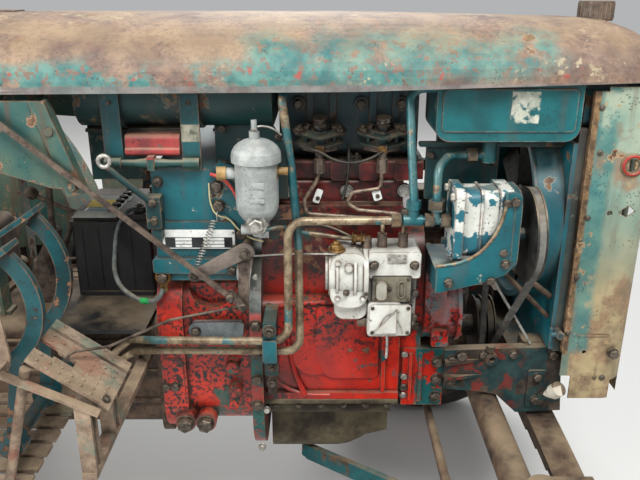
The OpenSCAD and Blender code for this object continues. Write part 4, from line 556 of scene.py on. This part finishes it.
def finish_piece(name, bm, material, body="chassis", recalc=True):
    if recalc:
        bmesh.ops.recalc_face_normals(bm, faces=bm.faces)
    mesh = mesh_from(name, bm)
    mesh.materials.append(material)
    mesh.shade_smooth()
    mesh.set_sharp_from_angle(angle=SHARP_ANGLE)
    place_piece(name, mesh, body)


def bevel_edges(bm, edges, width, segments=2):
    return bmesh.ops.bevel(bm, geom=edges, offset=width, segments=segments, profile=0.5, affect="EDGES", material=-1)


def block(bm, middle, size, corner=0, edge=0.0006, turn=None):
    """A slab with its size in millimetres, round corners across Y and softened edges."""
    verts = bmesh.ops.create_cube(bm, size=1)["verts"]
    bmesh.ops.scale(bm, vec=Vector(size) / 1000, verts=verts)

    def soften(edges, width, segments):
        faces = bevel_edges(bm, list(edges), width, segments)["faces"]
        return list({v for f in faces for v in f.verts} | {v for v in verts if v.is_valid})

    if corner:
        edges = {e for v in verts for e in v.link_edges}
        verts = soften([e for e in edges if abs(e.verts[0].co.y - e.verts[1].co.y) > 1e-6], corner / 1000, 4)
    if edge:
        edges = {e for v in verts for e in v.link_edges}
        verts = soften([e for e in edges if e.calc_face_angle(0) > BLOCK_EDGE_ANGLE], edge, 2)
    pose = Matrix.Translation(middle) @ (turn or Matrix())
    bmesh.ops.transform(bm, matrix=pose, verts=verts)


def blocks(name, rows, material, corner=0, edge=0.0006, turn=None):
    """One piece of slabs, each given by its middle and its size in millimetres."""
    bm = bmesh.new()
    for middle, size in rows:
        block(bm, at(*middle), size, corner, edge, turn)
    finish_piece(name, bm, material)


def tube(name, points, radius, material, curved=True, closed=False):
    """Round wire along a curve or along straight lines."""
    data = bpy.data.curves.new(name, "CURVE")
    data.dimensions = "3D"
    data.bevel_depth = radius / 1000
    data.bevel_resolution = 3
    data.use_fill_caps = not closed
    data.resolution_u = 8
    spline = data.splines.new("BEZIER" if curved else "POLY")
    spline.use_cyclic_u = closed
    stops = spline.bezier_points if curved else spline.points
    stops.add(len(points) - 1)
    for stop, point in zip(stops, points):
        if curved:
            stop.co = at(*point)
            stop.handle_left_type = stop.handle_right_type = "AUTO"
        else:
            stop.co = (*at(*point), 1)
    data.materials.append(material)
    place_piece(name, data)


def even_turns(count):
    return [2 * math.pi * i / count for i in range(count)]


def ring(name, middle, radius, wire, material):
    """A closed ring of round wire, flat across Y."""
    x, y, z = middle
    turns = even_turns(28)
    points = [(x + radius * math.cos(a), y, z + radius * math.sin(a)) for a in turns]
    tube(name, points, wire, material, curved=False, closed=True)


def slabs(name, shapes, material, edge=0.0008):
    """One piece of flat plates, each given by its outline and by its thickness as a vector, in metres."""
    bm = bmesh.new()
    for outline, rise in shapes:
        face = bm.faces.new([bm.verts.new(point) for point in outline])
        grown = bmesh.ops.extrude_face_region(bm, geom=[face])["geom"]
        bmesh.ops.translate(bm, vec=rise, verts=[g for g in grown if isinstance(g, bmesh.types.BMVert)])
    bmesh.ops.recalc_face_normals(bm, faces=bm.faces)
    bevel_edges(bm, [e for e in bm.edges if e.calc_face_angle(0) > PLATE_EDGE_ANGLE], edge)
    finish_piece(name, bm, material)


def plate(name, outline, y, thick, material, edge=0.0008):
    """A flat plate across Y from its outline in X and Z, its thickness towards the right side."""
    slabs(name, [([at(x, y, z) for x, z in outline], Vector((0, -thick / 1000, 0)))], material, edge)


def rounded(x, z, radius, low, high, steps=8):
    """Points of an arc, its turn in degrees from X towards Z."""
    turns = [math.radians(low + (high - low) * i / steps) for i in range(steps + 1)]
    return [(x + radius * math.cos(a), z + radius * math.sin(a)) for a in turns]


def disc(bm, radius, low, high, segments, round_top, steps):
    made = bmesh.ops.create_cone(bm, cap_ends=True, segments=segments, radius1=radius, radius2=radius,
                                 depth=high - low, matrix=Matrix.Translation((0, 0, (low + high) / 2)))
    if round_top:
        top = [e for v in made["verts"] for e in v.link_edges if all(w.co.z > high - 1e-6 for w in e.verts)]
        bevel_edges(bm, list(set(top)), round_top, steps)


def turned(name, rows, y, z, material):
    """Discs along X, each given by its ends, its radius and its round edge."""
    bm = bmesh.new()
    for low, high, radius, soft in rows:
        disc(bm, radius / 1000, low / 1000, high / 1000, 40, soft / 1000, 2)
    pose = Matrix.Translation(at(0, y, z)) @ Matrix.Rotation(math.pi / 2, 4, "Y")
    bmesh.ops.transform(bm, matrix=pose, verts=bm.verts[:])
    finish_piece(name, bm, material)


# Fasteners: each made once from discs, about one unit in radius and looking along Z
def keep_shape(discs, finish=None):
    bm = bmesh.new()
    for row in discs:
        disc(bm, *row)
    if finish:
        finish(bm)
    return mesh_from("shape", bm)


def add_slot(bm):
    block(bm, Vector((0, 0, 0.5)), (1500, 240, 140), edge=0)


def sink_top(bm):
    top = max(bm.faces, key=lambda f: f.calc_center_median().z)
    bmesh.ops.inset_region(bm, faces=[top], thickness=0.16)
    bmesh.ops.translate(bm, vec=(0, 0, -0.24), verts=top.verts)
    bmesh.ops.inset_region(bm, faces=[top], thickness=0.12)


BOLT = keep_shape([(1.22, 0, 0.14, 20, 0.05, 1), (1.08, 0.16, 1.12, 6, 0.12, 1), (0.72, 1.1, 1.16, 14, 0.04, 1)])
NUT = keep_shape([(1.5, 0, 0.16, 20, 0.05, 1), (1.08, 0.16, 1, 6, 0.12, 1), (0.56, 0.9, 1.55, 12, 0.1, 2)])
RIVET = keep_shape([(1, 0, 0.55, 14, 0.42, 3)])
SCREW = keep_shape([(1, 0, 0.5, 18, 0.14, 2)], add_slot)
CUP = keep_shape([(1, 0, 0.32, 26, 0.08, 2)], sink_top)


def stamps(name, shape, rows, material=BOLT_STEEL, body="chassis", direction=RIGHT):
    """One piece of many fasteners, each given by its seat and its size in millimetres."""
    bm = bmesh.new()
    facing = Vector(direction).to_track_quat("Z", "Y").to_matrix().to_4x4()
    for x, y, z, size in rows:
        start = len(bm.verts)
        bm.from_mesh(shape)
        bm.verts.ensure_lookup_table()
        turn = Matrix.Rotation(rng.uniform(0, math.pi), 4, "Z")
        pose = Matrix.Translation(at(x, y, z)) @ facing @ turn @ Matrix.Scale(size / 1000, 4)
        bmesh.ops.transform(bm, matrix=pose, verts=bm.verts[start:])
    finish_piece(name, bm, material, body, recalc=False)


# Bolts and nuts, over the plain hexagons of the castings
stamps("housing_bolts", BOLT, [
    (-237, -196, 709, 8.4), (-162, -196, 709, 8.4), (-273, -208, 503, 14.4), (-232, -208, 503, 14.4),
    *((-125, -200, z, 9.6) for z in (540, 600, 660, 720)),
    (-186, -200, 999, 9.6), (-184, -200, 963, 9.6), (-144, -200, 909, 9.6), (-156, -200, 879, 9.6),
    (-164, -209, 838, 8), (-292, -200, 1008, 8), (-288, -203, 586, 8), (-307, -203, 586, 7),
])
stamps("housing_plugs", SCREW, [(-173, -204, 630, 13), (-170, -204, 575, 13), (-173, -204, 544, 10)], CLUTCH_PAINT)
stamps("engine_bolts", BOLT, [
    *((238, -165, z, 9.6) for z in (540, 580, 620)), (172, -160, 560, 8), (172, -160, 690, 8),
    (192, -160, 700, 8), (268, -170, 583, 9), (268, -170, 628, 9), (160, -152, 935, 7), (-100, -152, 935, 7),
    (-100, -170, 745, 7), (150, -170, 745, 7), (-100, -170, 570, 7), (318, -284, 904, 7.2), (318, -284, 994, 7.2),
    (240, -190, 812, 7), (216, -190, 812, 7), (300, -286, 852, 7), (225, -286, 850, 7),
])
stamps("bright_bolts", BOLT, [(172, -160, 636, 7), (172, -160, 585, 7), (172, -160, 541, 7), (-108, -200, 529, 6),
                              (-122, -200, 822, 5), (-120, -200, 440, 7)], BRIGHT_STEEL)
for piece_name, y in (("pan_bolts", -171), ("left_pan_bolts", 171)):
    stamps(piece_name, BOLT, [(x, y, 526, 7) for x in range(-90, 150, 46)], direction=DOWN)
stamps("linkage_pins", RIVET, [(-160, -285, 816, 8), (-225, -268, 851, 7), (-141, -267, 790, 8)])
stamps("crank_nut", NUT, [(-133, -262, 895, 10)])
stamps("head_nuts", NUT, [(x, -120, 1030, 8) for x in (-68, 57, 70, 178)], direction=UP)
stamps("head_cover_bolts", BOLT, [(x, -120, 1134, 8) for x in (-40, 76, 150)])
stamps("core_plugs", CUP, [(x, -126, 970, 13) for x in (-60, 51, 161)], BRIGHT_STEEL)
stamps("filter_nut", NUT, [(-109, -279, 952, 12)], BRIGHT_STEEL)
stamps("pump_screws", SCREW, [
    *((x, -250, z, 3.4) for z in (730, 780) for x in (97, 163)), (100, -248.5, 837, 3), (100, -248.5, 797, 3),
    (161, -248.5, 797, 3), (127, -248.5, 818, 4.2), (161, -248.5, 837, 3),
])
stamps("pump_bolts", BOLT, [(98, -246, 864, 7.2), (171, -246, 864, 7.2), (175, -238, 756, 6), (175, -238, 806, 6)])
stamps("shell_screws", RIVET, [(497, -200, 1060, 5), (491, -200, 939, 5), (486, -200, 819, 5), (483, -200, 703, 5),
                               (490, -200, 1140, 5), (563, -200, 604, 6), (548, -200, 604, 4)])
stamps("shell_bolt", BOLT, [(574, -206, 662, 9)])
stamps("strap_bolts", BOLT, [(-364, -207, 1044, 7), (-364, -202, 1150, 5), (-227, -202, 1150, 5)])
FRAME_ROW = ((286, 638, 10), (330, 640, 8), (390, 640, 8), (470, 640, 9))
stamps("frame_bolts", BOLT, [(x, -170, z, size) for x, z, size in FRAME_ROW]
       + [(443, -174, z, 8) for z in (590, 536)])
stamps("left_frame_bolts", BOLT, [(x, 170, z, size) for x, z, size in FRAME_ROW], direction=LEFT)
stamps("brass_unions", NUT, [(x, -158, 1055, 5.5) for x in (-2, 114)], BRASS)
stamps("governor_nut", NUT, [(30, -236, 890, 11)], BRASS, direction=UP)

# Blank data plate on the upper housing, and the blank tab on the injection pump
PLATE_Z = 899
blocks("data_plate", [((-224, -202.4, PLATE_Z), (134, 4.8, 37))], WHITE_ENAMEL, corner=3, edge=0.0004)
blocks("data_plate_field", [((-224, -205, PLATE_Z - 6), (124, 0.8, 20))], BLACK_ENAMEL, edge=0)
blocks("data_plate_boxes", [((x, -205.6, z), (w, 0.8, 5)) for z in (PLATE_Z + 0.5, PLATE_Z - 6, PLATE_Z - 12.5)
                            for x, w in ((-252, 30), (-196, 38))], WHITE_ENAMEL, edge=0)
stamps("data_plate_rivets", RIVET, [(x, -204.6, z, 2.4) for z in (912, 885) for x in (-288, -160)], BRIGHT_STEEL)
blocks("pump_tab", [((139, -247, 876), (34, 1.4, 17))], BRIGHT_STEEL, corner=1.5, edge=0.0003)
stamps("pump_tab_rivets", RIVET, [(x, -247.5, 876, 1.6) for x in (125, 153)])

# Coil spring from the housing to the bell crank
SPRING_TOP = Vector((-187, -216, 950))
SPRING_FOOT = Vector((-224, -266, 858))
SPRING_TURNS = 17
SPRING_RADIUS = 5.4
SPRING_HOOK = 0.1  # share of its length without turns, at each end
STEPS_PER_TURN = 10
spring_axis = SPRING_FOOT - SPRING_TOP
spring_side = spring_axis.cross(Vector((0, 1, 0))).normalized()
spring_out = spring_axis.cross(spring_side).normalized()
spring_points = [SPRING_TOP + Vector((2, 14, 10)), SPRING_TOP]
for step in range(SPRING_TURNS * STEPS_PER_TURN):
    part = SPRING_HOOK + (1 - 2 * SPRING_HOOK) * step / (SPRING_TURNS * STEPS_PER_TURN)
    turn = 2 * math.pi * step / STEPS_PER_TURN
    spring_points.append(SPRING_TOP + spring_axis * part + spring_side * SPRING_RADIUS * math.cos(turn)
                         + spring_out * SPRING_RADIUS * math.sin(turn))
spring_points.append(SPRING_FOOT)
tube("crank_spring", spring_points, 0.9, BRIGHT_STEEL, curved=False)

# Battery cable with its lug, held at the terminal and on the housing
tube("battery_cable", [(-384, 2, 896), (-402, -20, 894), (-421, -30, 868), (-429, -50, 819), (-410, -118, 783),
                       (-362, -178, 770), (-333, -200, 772), (-307, -210, 782), (-297, -207, 800)], 4.8, CABLE_GREY)
tube("cable_tape", [(-343, -196, 771), (-333, -200.5, 772), (-325, -204, 774)], 6, GREEN_TAPE)
blocks("cable_lug", [((-296, -203, 808), (15, 3.2, 34))], BRASS, corner=5)
ring("lug_ring", (-296, -203, 823), 12, 3.4, BRASS)
stamps("lug_bolt", BOLT, [(-296, -203, 823, 9)])
blocks("battery_label", [((-468, 42, 886.6), (74, 92, 1.2))], WHITE_ENAMEL, edge=0)
blocks("battery_label_band", [((-468, 18, 887.4), (62, 26, 0.8))], TEAL, edge=0)
stamps("battery_caps", SCREW, [(-443, 10 + 30 * i, 889.5, 9.4) for i in range(6)], BLACK, direction=UP)
stamps("terminal_bolts", BOLT, [(-384, y, 899, 5) for y in (6, 164)], direction=UP)

# Fittings on the housing's corner, with the rod and eye above them
blocks("corner_fitting", [((-298, -213, 956), (27, 27, 60)), ((-296, -211, 914), (20, 22, 22))], DARK_TEAL, corner=4)
stamps("corner_fitting_bolts", BOLT, [(-298, -226, z, 7) for z in (976, 942)])
tube("eye_rod", [(-367, -240, 1043), (-340, -236, 1016), (-300, -224, 975)], 5.5, DARK_TEAL)
ring("rod_eye", (-372, -242, 1055), 10, 4, BRIGHT_STEEL)

# Cables and thin pipes
tube("red_cable", [(-196, -206, 1024), (-176, -208, 1016), (-158, -209, 998), (-148, -210, 976), (-142, -208, 950)],
     3.2, RED_CABLE)
tube("cream_cable", [(-200, -203, 1006), (-196, -206, 962), (-186, -211, 948), (-168, -207, 940), (-150, -207, 920),
                     (-133, -209, 906), (-104, -214, 898)], 1.7, CREAM_CABLE)
tube("leak_pipe", [(-66, -196, 1084), (-44, -172, 1070), (-20, -168, 1060), (-2, -168, 1055), (26, -172, 1041),
                   (57, -173, 1036), (88, -172, 1042), (114, -168, 1055)], 2.8, PULLEY_STEEL)
tube("fuel_pipe", [(-96, -250, 934), (-70, -240, 934), (-38, -208, 914), (9, -199, 905), (44, -204, 901),
                   (60, -214, 904)], 4.2, PIPE_STEEL)
tube("fuel_union", [(58, -214, 904), (92, -222, 906)], 6.5, BRASS, curved=False)
stamps("fuel_union_nuts", NUT, [(60, -214, 904, 8), (76, -218, 905, 8)], BRASS, direction=(1, -0.2, 0.05))
tube("fuel_stub", [(86, -220, 910), (86, -222, 884)], 8.5, PUMP_PAINT, curved=False)
tube("return_pipe", [(-20, -192, 926), (15, -196, 920), (46, -200, 908), (62, -212, 903)], 3.2, PULLEY_STEEL)
tube("stop_wire", [(-132, -206, 866), (-60, -216, 874), (34, -246, 886)], 1.8, BRIGHT_STEEL)
tube("pump_lever", [(126, -242, 724), (126, -250, 700), (125, -253, 678)], 2.6, BRIGHT_STEEL)
tube("head_stud_rod", [(54, -124, 1060), (54, -134, 1034), (50, -150, 990), (42, -160, 962)], 2.8, PULLEY_STEEL)
blocks("tag_left", [((-4, -156, 968), (13, 3, 27))], WHITE_ENAMEL, corner=3, turn=Matrix.Rotation(0.35, 4, "Y"))
blocks("tag_right", [((107, -158, 970), (16, 3, 20))], WHITE_ENAMEL, corner=3, turn=Matrix.Rotation(-0.3, 4, "Y"))
stamps("tag_screws", SCREW, [(-4, -157.5, 964, 4), (108, -159.5, 969, 4)])
tube("frame_brace", [(332, -160, 858), (452, -166, 766)], 6, CASTING, curved=False)
tube("frame_brace_low", [(334, -160, 838), (452, -166, 722)], 5, CASTING, curved=False)
tube("thin_brace", [(318, -160, 832), (426, -160, 658)], 3, BRIGHT_STEEL, curved=False)
ring("shell_ring", (558, -203.6, 1038), 17, 2.6, RED)

# Pipe clamp and the link below it
blocks("pipe_clamp", [((-94, -262, 697), (27, 7, 46))], TEAL, corner=3)
blocks("clamp_lug", [((-94, -214, 646), (26, 28, 44))], DARK_TEAL, corner=5)
blocks("clamp_link", [((-94, -208, 606), (17, 12, 66))], CASTING, corner=7)
stamps("clamp_bolts", NUT, [(-94, -260, 738, 9), (-92, -228, 644, 8), (-94, -214, 600, 7)])

# Radiator fins behind the grille
blocks("radiator_fins", [((500.5, y, 880), (3, 1.1, 420)) for y in range(-168, 169, 6)], CASTING, edge=0)
blocks("radiator_rows", [((501, 0, z), (2, 340, 2)) for z in range(676, 1090, 18)], CASTING, edge=0)

# Wheel nuts and hub caps. Each axle has its X and height, its nuts' Y, number, circle and size, its cap's Y and size
AXLES = (("front_", FRONT_X, FRONT_R, 659, 5, 46, 11, 696, 22), ("rear_", REAR_X, REAR_R, 617, 8, 82, 12, 654, 40))
for axle, axle_x, height, nut_y, count, circle, nut_size, cap_y, cap_size in AXLES:
    x, z = (axle_x - ENG_X) * 1000, height * 1000
    for wheel, side in ((axle + "right", -1), (axle + "left", 1)):
        nuts = [(x + circle * math.cos(a), side * nut_y, z + circle * math.sin(a), nut_size)
                for a in even_turns(count)]
        stamps("nuts_" + wheel, NUT, nuts, body="wheel_" + wheel, direction=(0, side, 0))
        stamps("cap_" + wheel, RIVET, [(x, side * cap_y, z, cap_size)], RED, "wheel_" + wheel, (0, side, 0))

# Round governor at the pump's rear end
turned("governor_drum", [(10, 18, 36, 2), (16, 30, 46, 1), (29, 34, 51, 1), (33, 62, 48, 1), (61, 67, 53, 1),
                         (66, 80, 49, 1), (79, 88, 54, 1)], -208, 838, PUMP_PAINT)
stamps("governor_bolts", BOLT, [(48, -252, 812, 5), (84, -254, 812, 4)])

# Plates and arms of the bell crank and the lever of the inspection cover
plate("crank_web", rounded(-133, 895, 18, -10, 120) + rounded(-225, 851, 10.5, 115, 290), -261.5, 6.6, CRANK_STEEL)
plate("crank_arm", rounded(-133, 895, 16, 0, 180) + [(-150, 846), (-147, 838), (-150, 800)]
      + rounded(-141, 790, 10, 180, 360) + [(-126, 840)], -255, 6, CRANK_STEEL)
plate("inspection_lever", rounded(-240, 711, 15, 90, 270) + [(-212, 694), (-196, 688), (-176, 688), (-150, 696)]
      + [(-147, 724), (-158, 727), (-226, 727)], -199.5, 7, LEVER_PAINT)
stamps("inspection_bolt", BOLT, [(-240, -206.5, 711, 8)])

# Curved web of the pump's bracket with its worn edge
WEB_CURVE = [(203, 879), (222, 881), (247, 887), (272, 901), (293, 924), (306, 950), (314, 980), (316, 1012)]
plate("bracket_web", [(203, 829), (213, 829), (274, 844), (325, 863), (342, 884), (342, 1004), (330, 1014)]
      + WEB_CURVE[::-1], -284.5, 5, TEAL)
tube("bracket_web_edge", [(x, -288, z) for x, z in WEB_CURVE], 3.2, PIPE_STEEL)
stamps("bracket_bolts", BOLT, [(330, -289.5, 996, 7), (322, -289.5, 884, 7), (226, -289.5, 846, 6)])

# Raised panel and ribs of the crankcase
plate("block_panel", rounded(104, 600, 14, -90, 0, 5) + rounded(104, 734, 14, 0, 90, 5)
      + rounded(6, 734, 14, 90, 180, 5) + [(-8, 640), (10, 596), (22, 586)], -168, 8, ENGINE_PAINT, edge=0.003)
tube("block_rib", [(-66, -168, 716), (-62, -170, 660), (-50, -173, 596), (-30, -177, 548)], 6, ENGINE_PAINT)
tube("block_rib_low", [(-104, -168, 610), (-80, -170, 572), (-40, -174, 552), (20, -176, 548)], 5, ENGINE_PAINT)
tube("block_cast_line", [(-104, -168, 742), (-30, -169, 752), (60, -169, 756), (150, -168, 752)], 5, ENGINE_PAINT)

# Raised blank frames and the bleed pipe of the filter
blocks("filter_frames", [((-106, -287.4, 1024), (25, 2, 12)), ((-106, -287.4, 997), (25, 2, 8))], FILTER_ALLOY,
       corner=1.5, edge=0.0004)
tube("bleed_pipe", [(-111, -250, 1116), (-96, -248, 1117), (-80, -243, 1112), (-66, -236, 1100)], 1.8, BRIGHT_STEEL)
stamps("bleed_nut", NUT, [(-111, -250, 1108, 6)], BRIGHT_STEEL, direction=UP)

# Studs of the sloping tread plates, in rows down the slope with a bare patch in the upper ones
SLOPE_TOP = Vector((-440, 0, 816))
SLOPE = Vector((118, 0, -85)).normalized()
SLOPE_FACE = (85, 0, 118)
STUD_ROWS, STUD_COLUMNS, ROW_STEP, COLUMN_STEP = 7, 6, 19, 15.5
for side, studs_name, bolts_name in ((-1, "tread_studs_right", "tread_bolts_ight"),
                                     (1, "tread_studs_left", "tread_bolts_eft")):
    rows = []
    for row in range(STUD_ROWS):
        spot = SLOPE_TOP + SLOPE * (14 + ROW_STEP * row)
        for column in range(STUD_COLUMNS):
            across = 410 + COLUMN_STEP * column + 6 * (row % 2)
            if row > 3 or not 430 < across < 470:
                rows.append((spot.x, side * across, spot.z, 3.3))
        spot = SLOPE_TOP + SLOPE * (20 + ROW_STEP * row)
        rows.append((spot.x, side * (373 + 12 * (row % 2)), spot.z, 2.8))
    stamps(studs_name, RIVET, rows, TREAD_METAL, direction=SLOPE_FACE)
    corner = SLOPE_TOP + SLOPE * 134
    stamps(bolts_name, BOLT, [(corner.x, side * 488, corner.z, 6)], direction=SLOPE_FACE)

# Yellow mark on the battery's lid
blocks("battery_mark", [((-478, 60, 887.6), (62, 54, 1))], YELLOW_ENAMEL, edge=0)

# The pump's side covers over their dark gaskets
blocks("pump_gaskets", [((131, -243, 817), (74, 7, 54)), ((130, -243, 755), (82, 8, 68))], BLACK, corner=5)
blocks("pump_plate", [((131, -244.5, 817), (70, 7, 50))], KHAKI, corner=4)
blocks("pump_cover", [((130, -245.5, 755), (78, 8, 64))], PUMP_PAINT, corner=8)
tube("pump_cover_arch", [(106, -249, 727), (111, -249.5, 746), (122, -249.5, 764), (130, -249.5, 768),
                         (138, -249.5, 764), (149, -249.5, 746), (154, -249, 727)], 1.5, PUMP_PAINT)
GRIP = rounded(149, 827, 6, 0, 180, 6) + rounded(149, 807, 6, 180, 360, 6) + [(155, 827)]
tube("pump_plate_grip", [(x, -249.5, z) for x, z in GRIP], 1.7, KHAKI, curved=False)
tube("governor_seam", [(x, -246, z) for x, z in rounded(54, 826, 17, 0, 355, 14)], 1.4, PUMP_PAINT)

# Pale fields on the battery's lid
blocks("battery_field", [((-470, y, 886.8), (92, width, 1.2)) for y, width in ((-16, 44), (100, 40))], LABEL_GREY,
       edge=0)

# Tilted flange plates of the injectors with their nuts, in two layers, each with its heights and scale
CYLINDERS = (0, 116)
FLANGE_TILT = math.radians(30)
TILT_SIN, TILT_COS = math.sin(FLANGE_TILT), math.cos(FLANGE_TILT)
FLANGE_FACE = (0, -TILT_SIN, TILT_COS)
FLANGE_EDGE = (rounded(-39, 0, 9, 110, 250) + rounded(0, 0, 23, 250, 290, 4) + rounded(39, 0, 9, -70, 70)
               + rounded(0, 0, 23, 70, 110, 4))


def flange_spot(x, v, w):
    """A place on an injector's tilted flange: X, then up the flange, then off it."""
    return x, -136 + v * TILT_COS - w * TILT_SIN, 1072 + v * TILT_SIN + w * TILT_COS


slabs("injector_flanges", [
    ([at(*flange_spot(x + u * grow, v * grow, low)) for u, v in FLANGE_EDGE],
     at(*flange_spot(0, 0, high)) - at(*flange_spot(0, 0, low)))
    for x in CYLINDERS for low, high, grow in ((15, 21, 1), (-9, -4, 0.94))], DARK_TEAL, edge=0.0012)
stamps("flange_nuts", NUT, [(*flange_spot(x + u, 0, 21), 8) for x in CYLINDERS for u in (-37, 37)],
       direction=FLANGE_FACE)
stamps("injector_caps", BOLT, [(*flange_spot(x, 0, 22), 12) for x in CYLINDERS], BLACK, direction=FLANGE_FACE)

# Bracket plate behind the filter, and the rail and its plate below the hydraulic tank
plate("filter_bracket", [(-192, 962), (-60, 962), (-60, 1060), (-84, 1100), (-150, 1112), (-192, 1112)], -150, 5,
      DARK_TEAL)
stamps("filter_bracket_bolts", BOLT, [(-178, -155.5, 1096, 7), (-178, -155.5, 1030, 7), (-76, -155.5, 1080, 6)])
blocks("tank_rail", [((334, -132, 1062), (300, 14, 9)), ((268, -126, 1006), (138, 5, 104))], DARK_TEAL, corner=4)
stamps("tank_rail_bolts", BOLT, [(208, -129, 1040, 6), (328, -129, 1026, 6), (328, -129, 968, 6)])
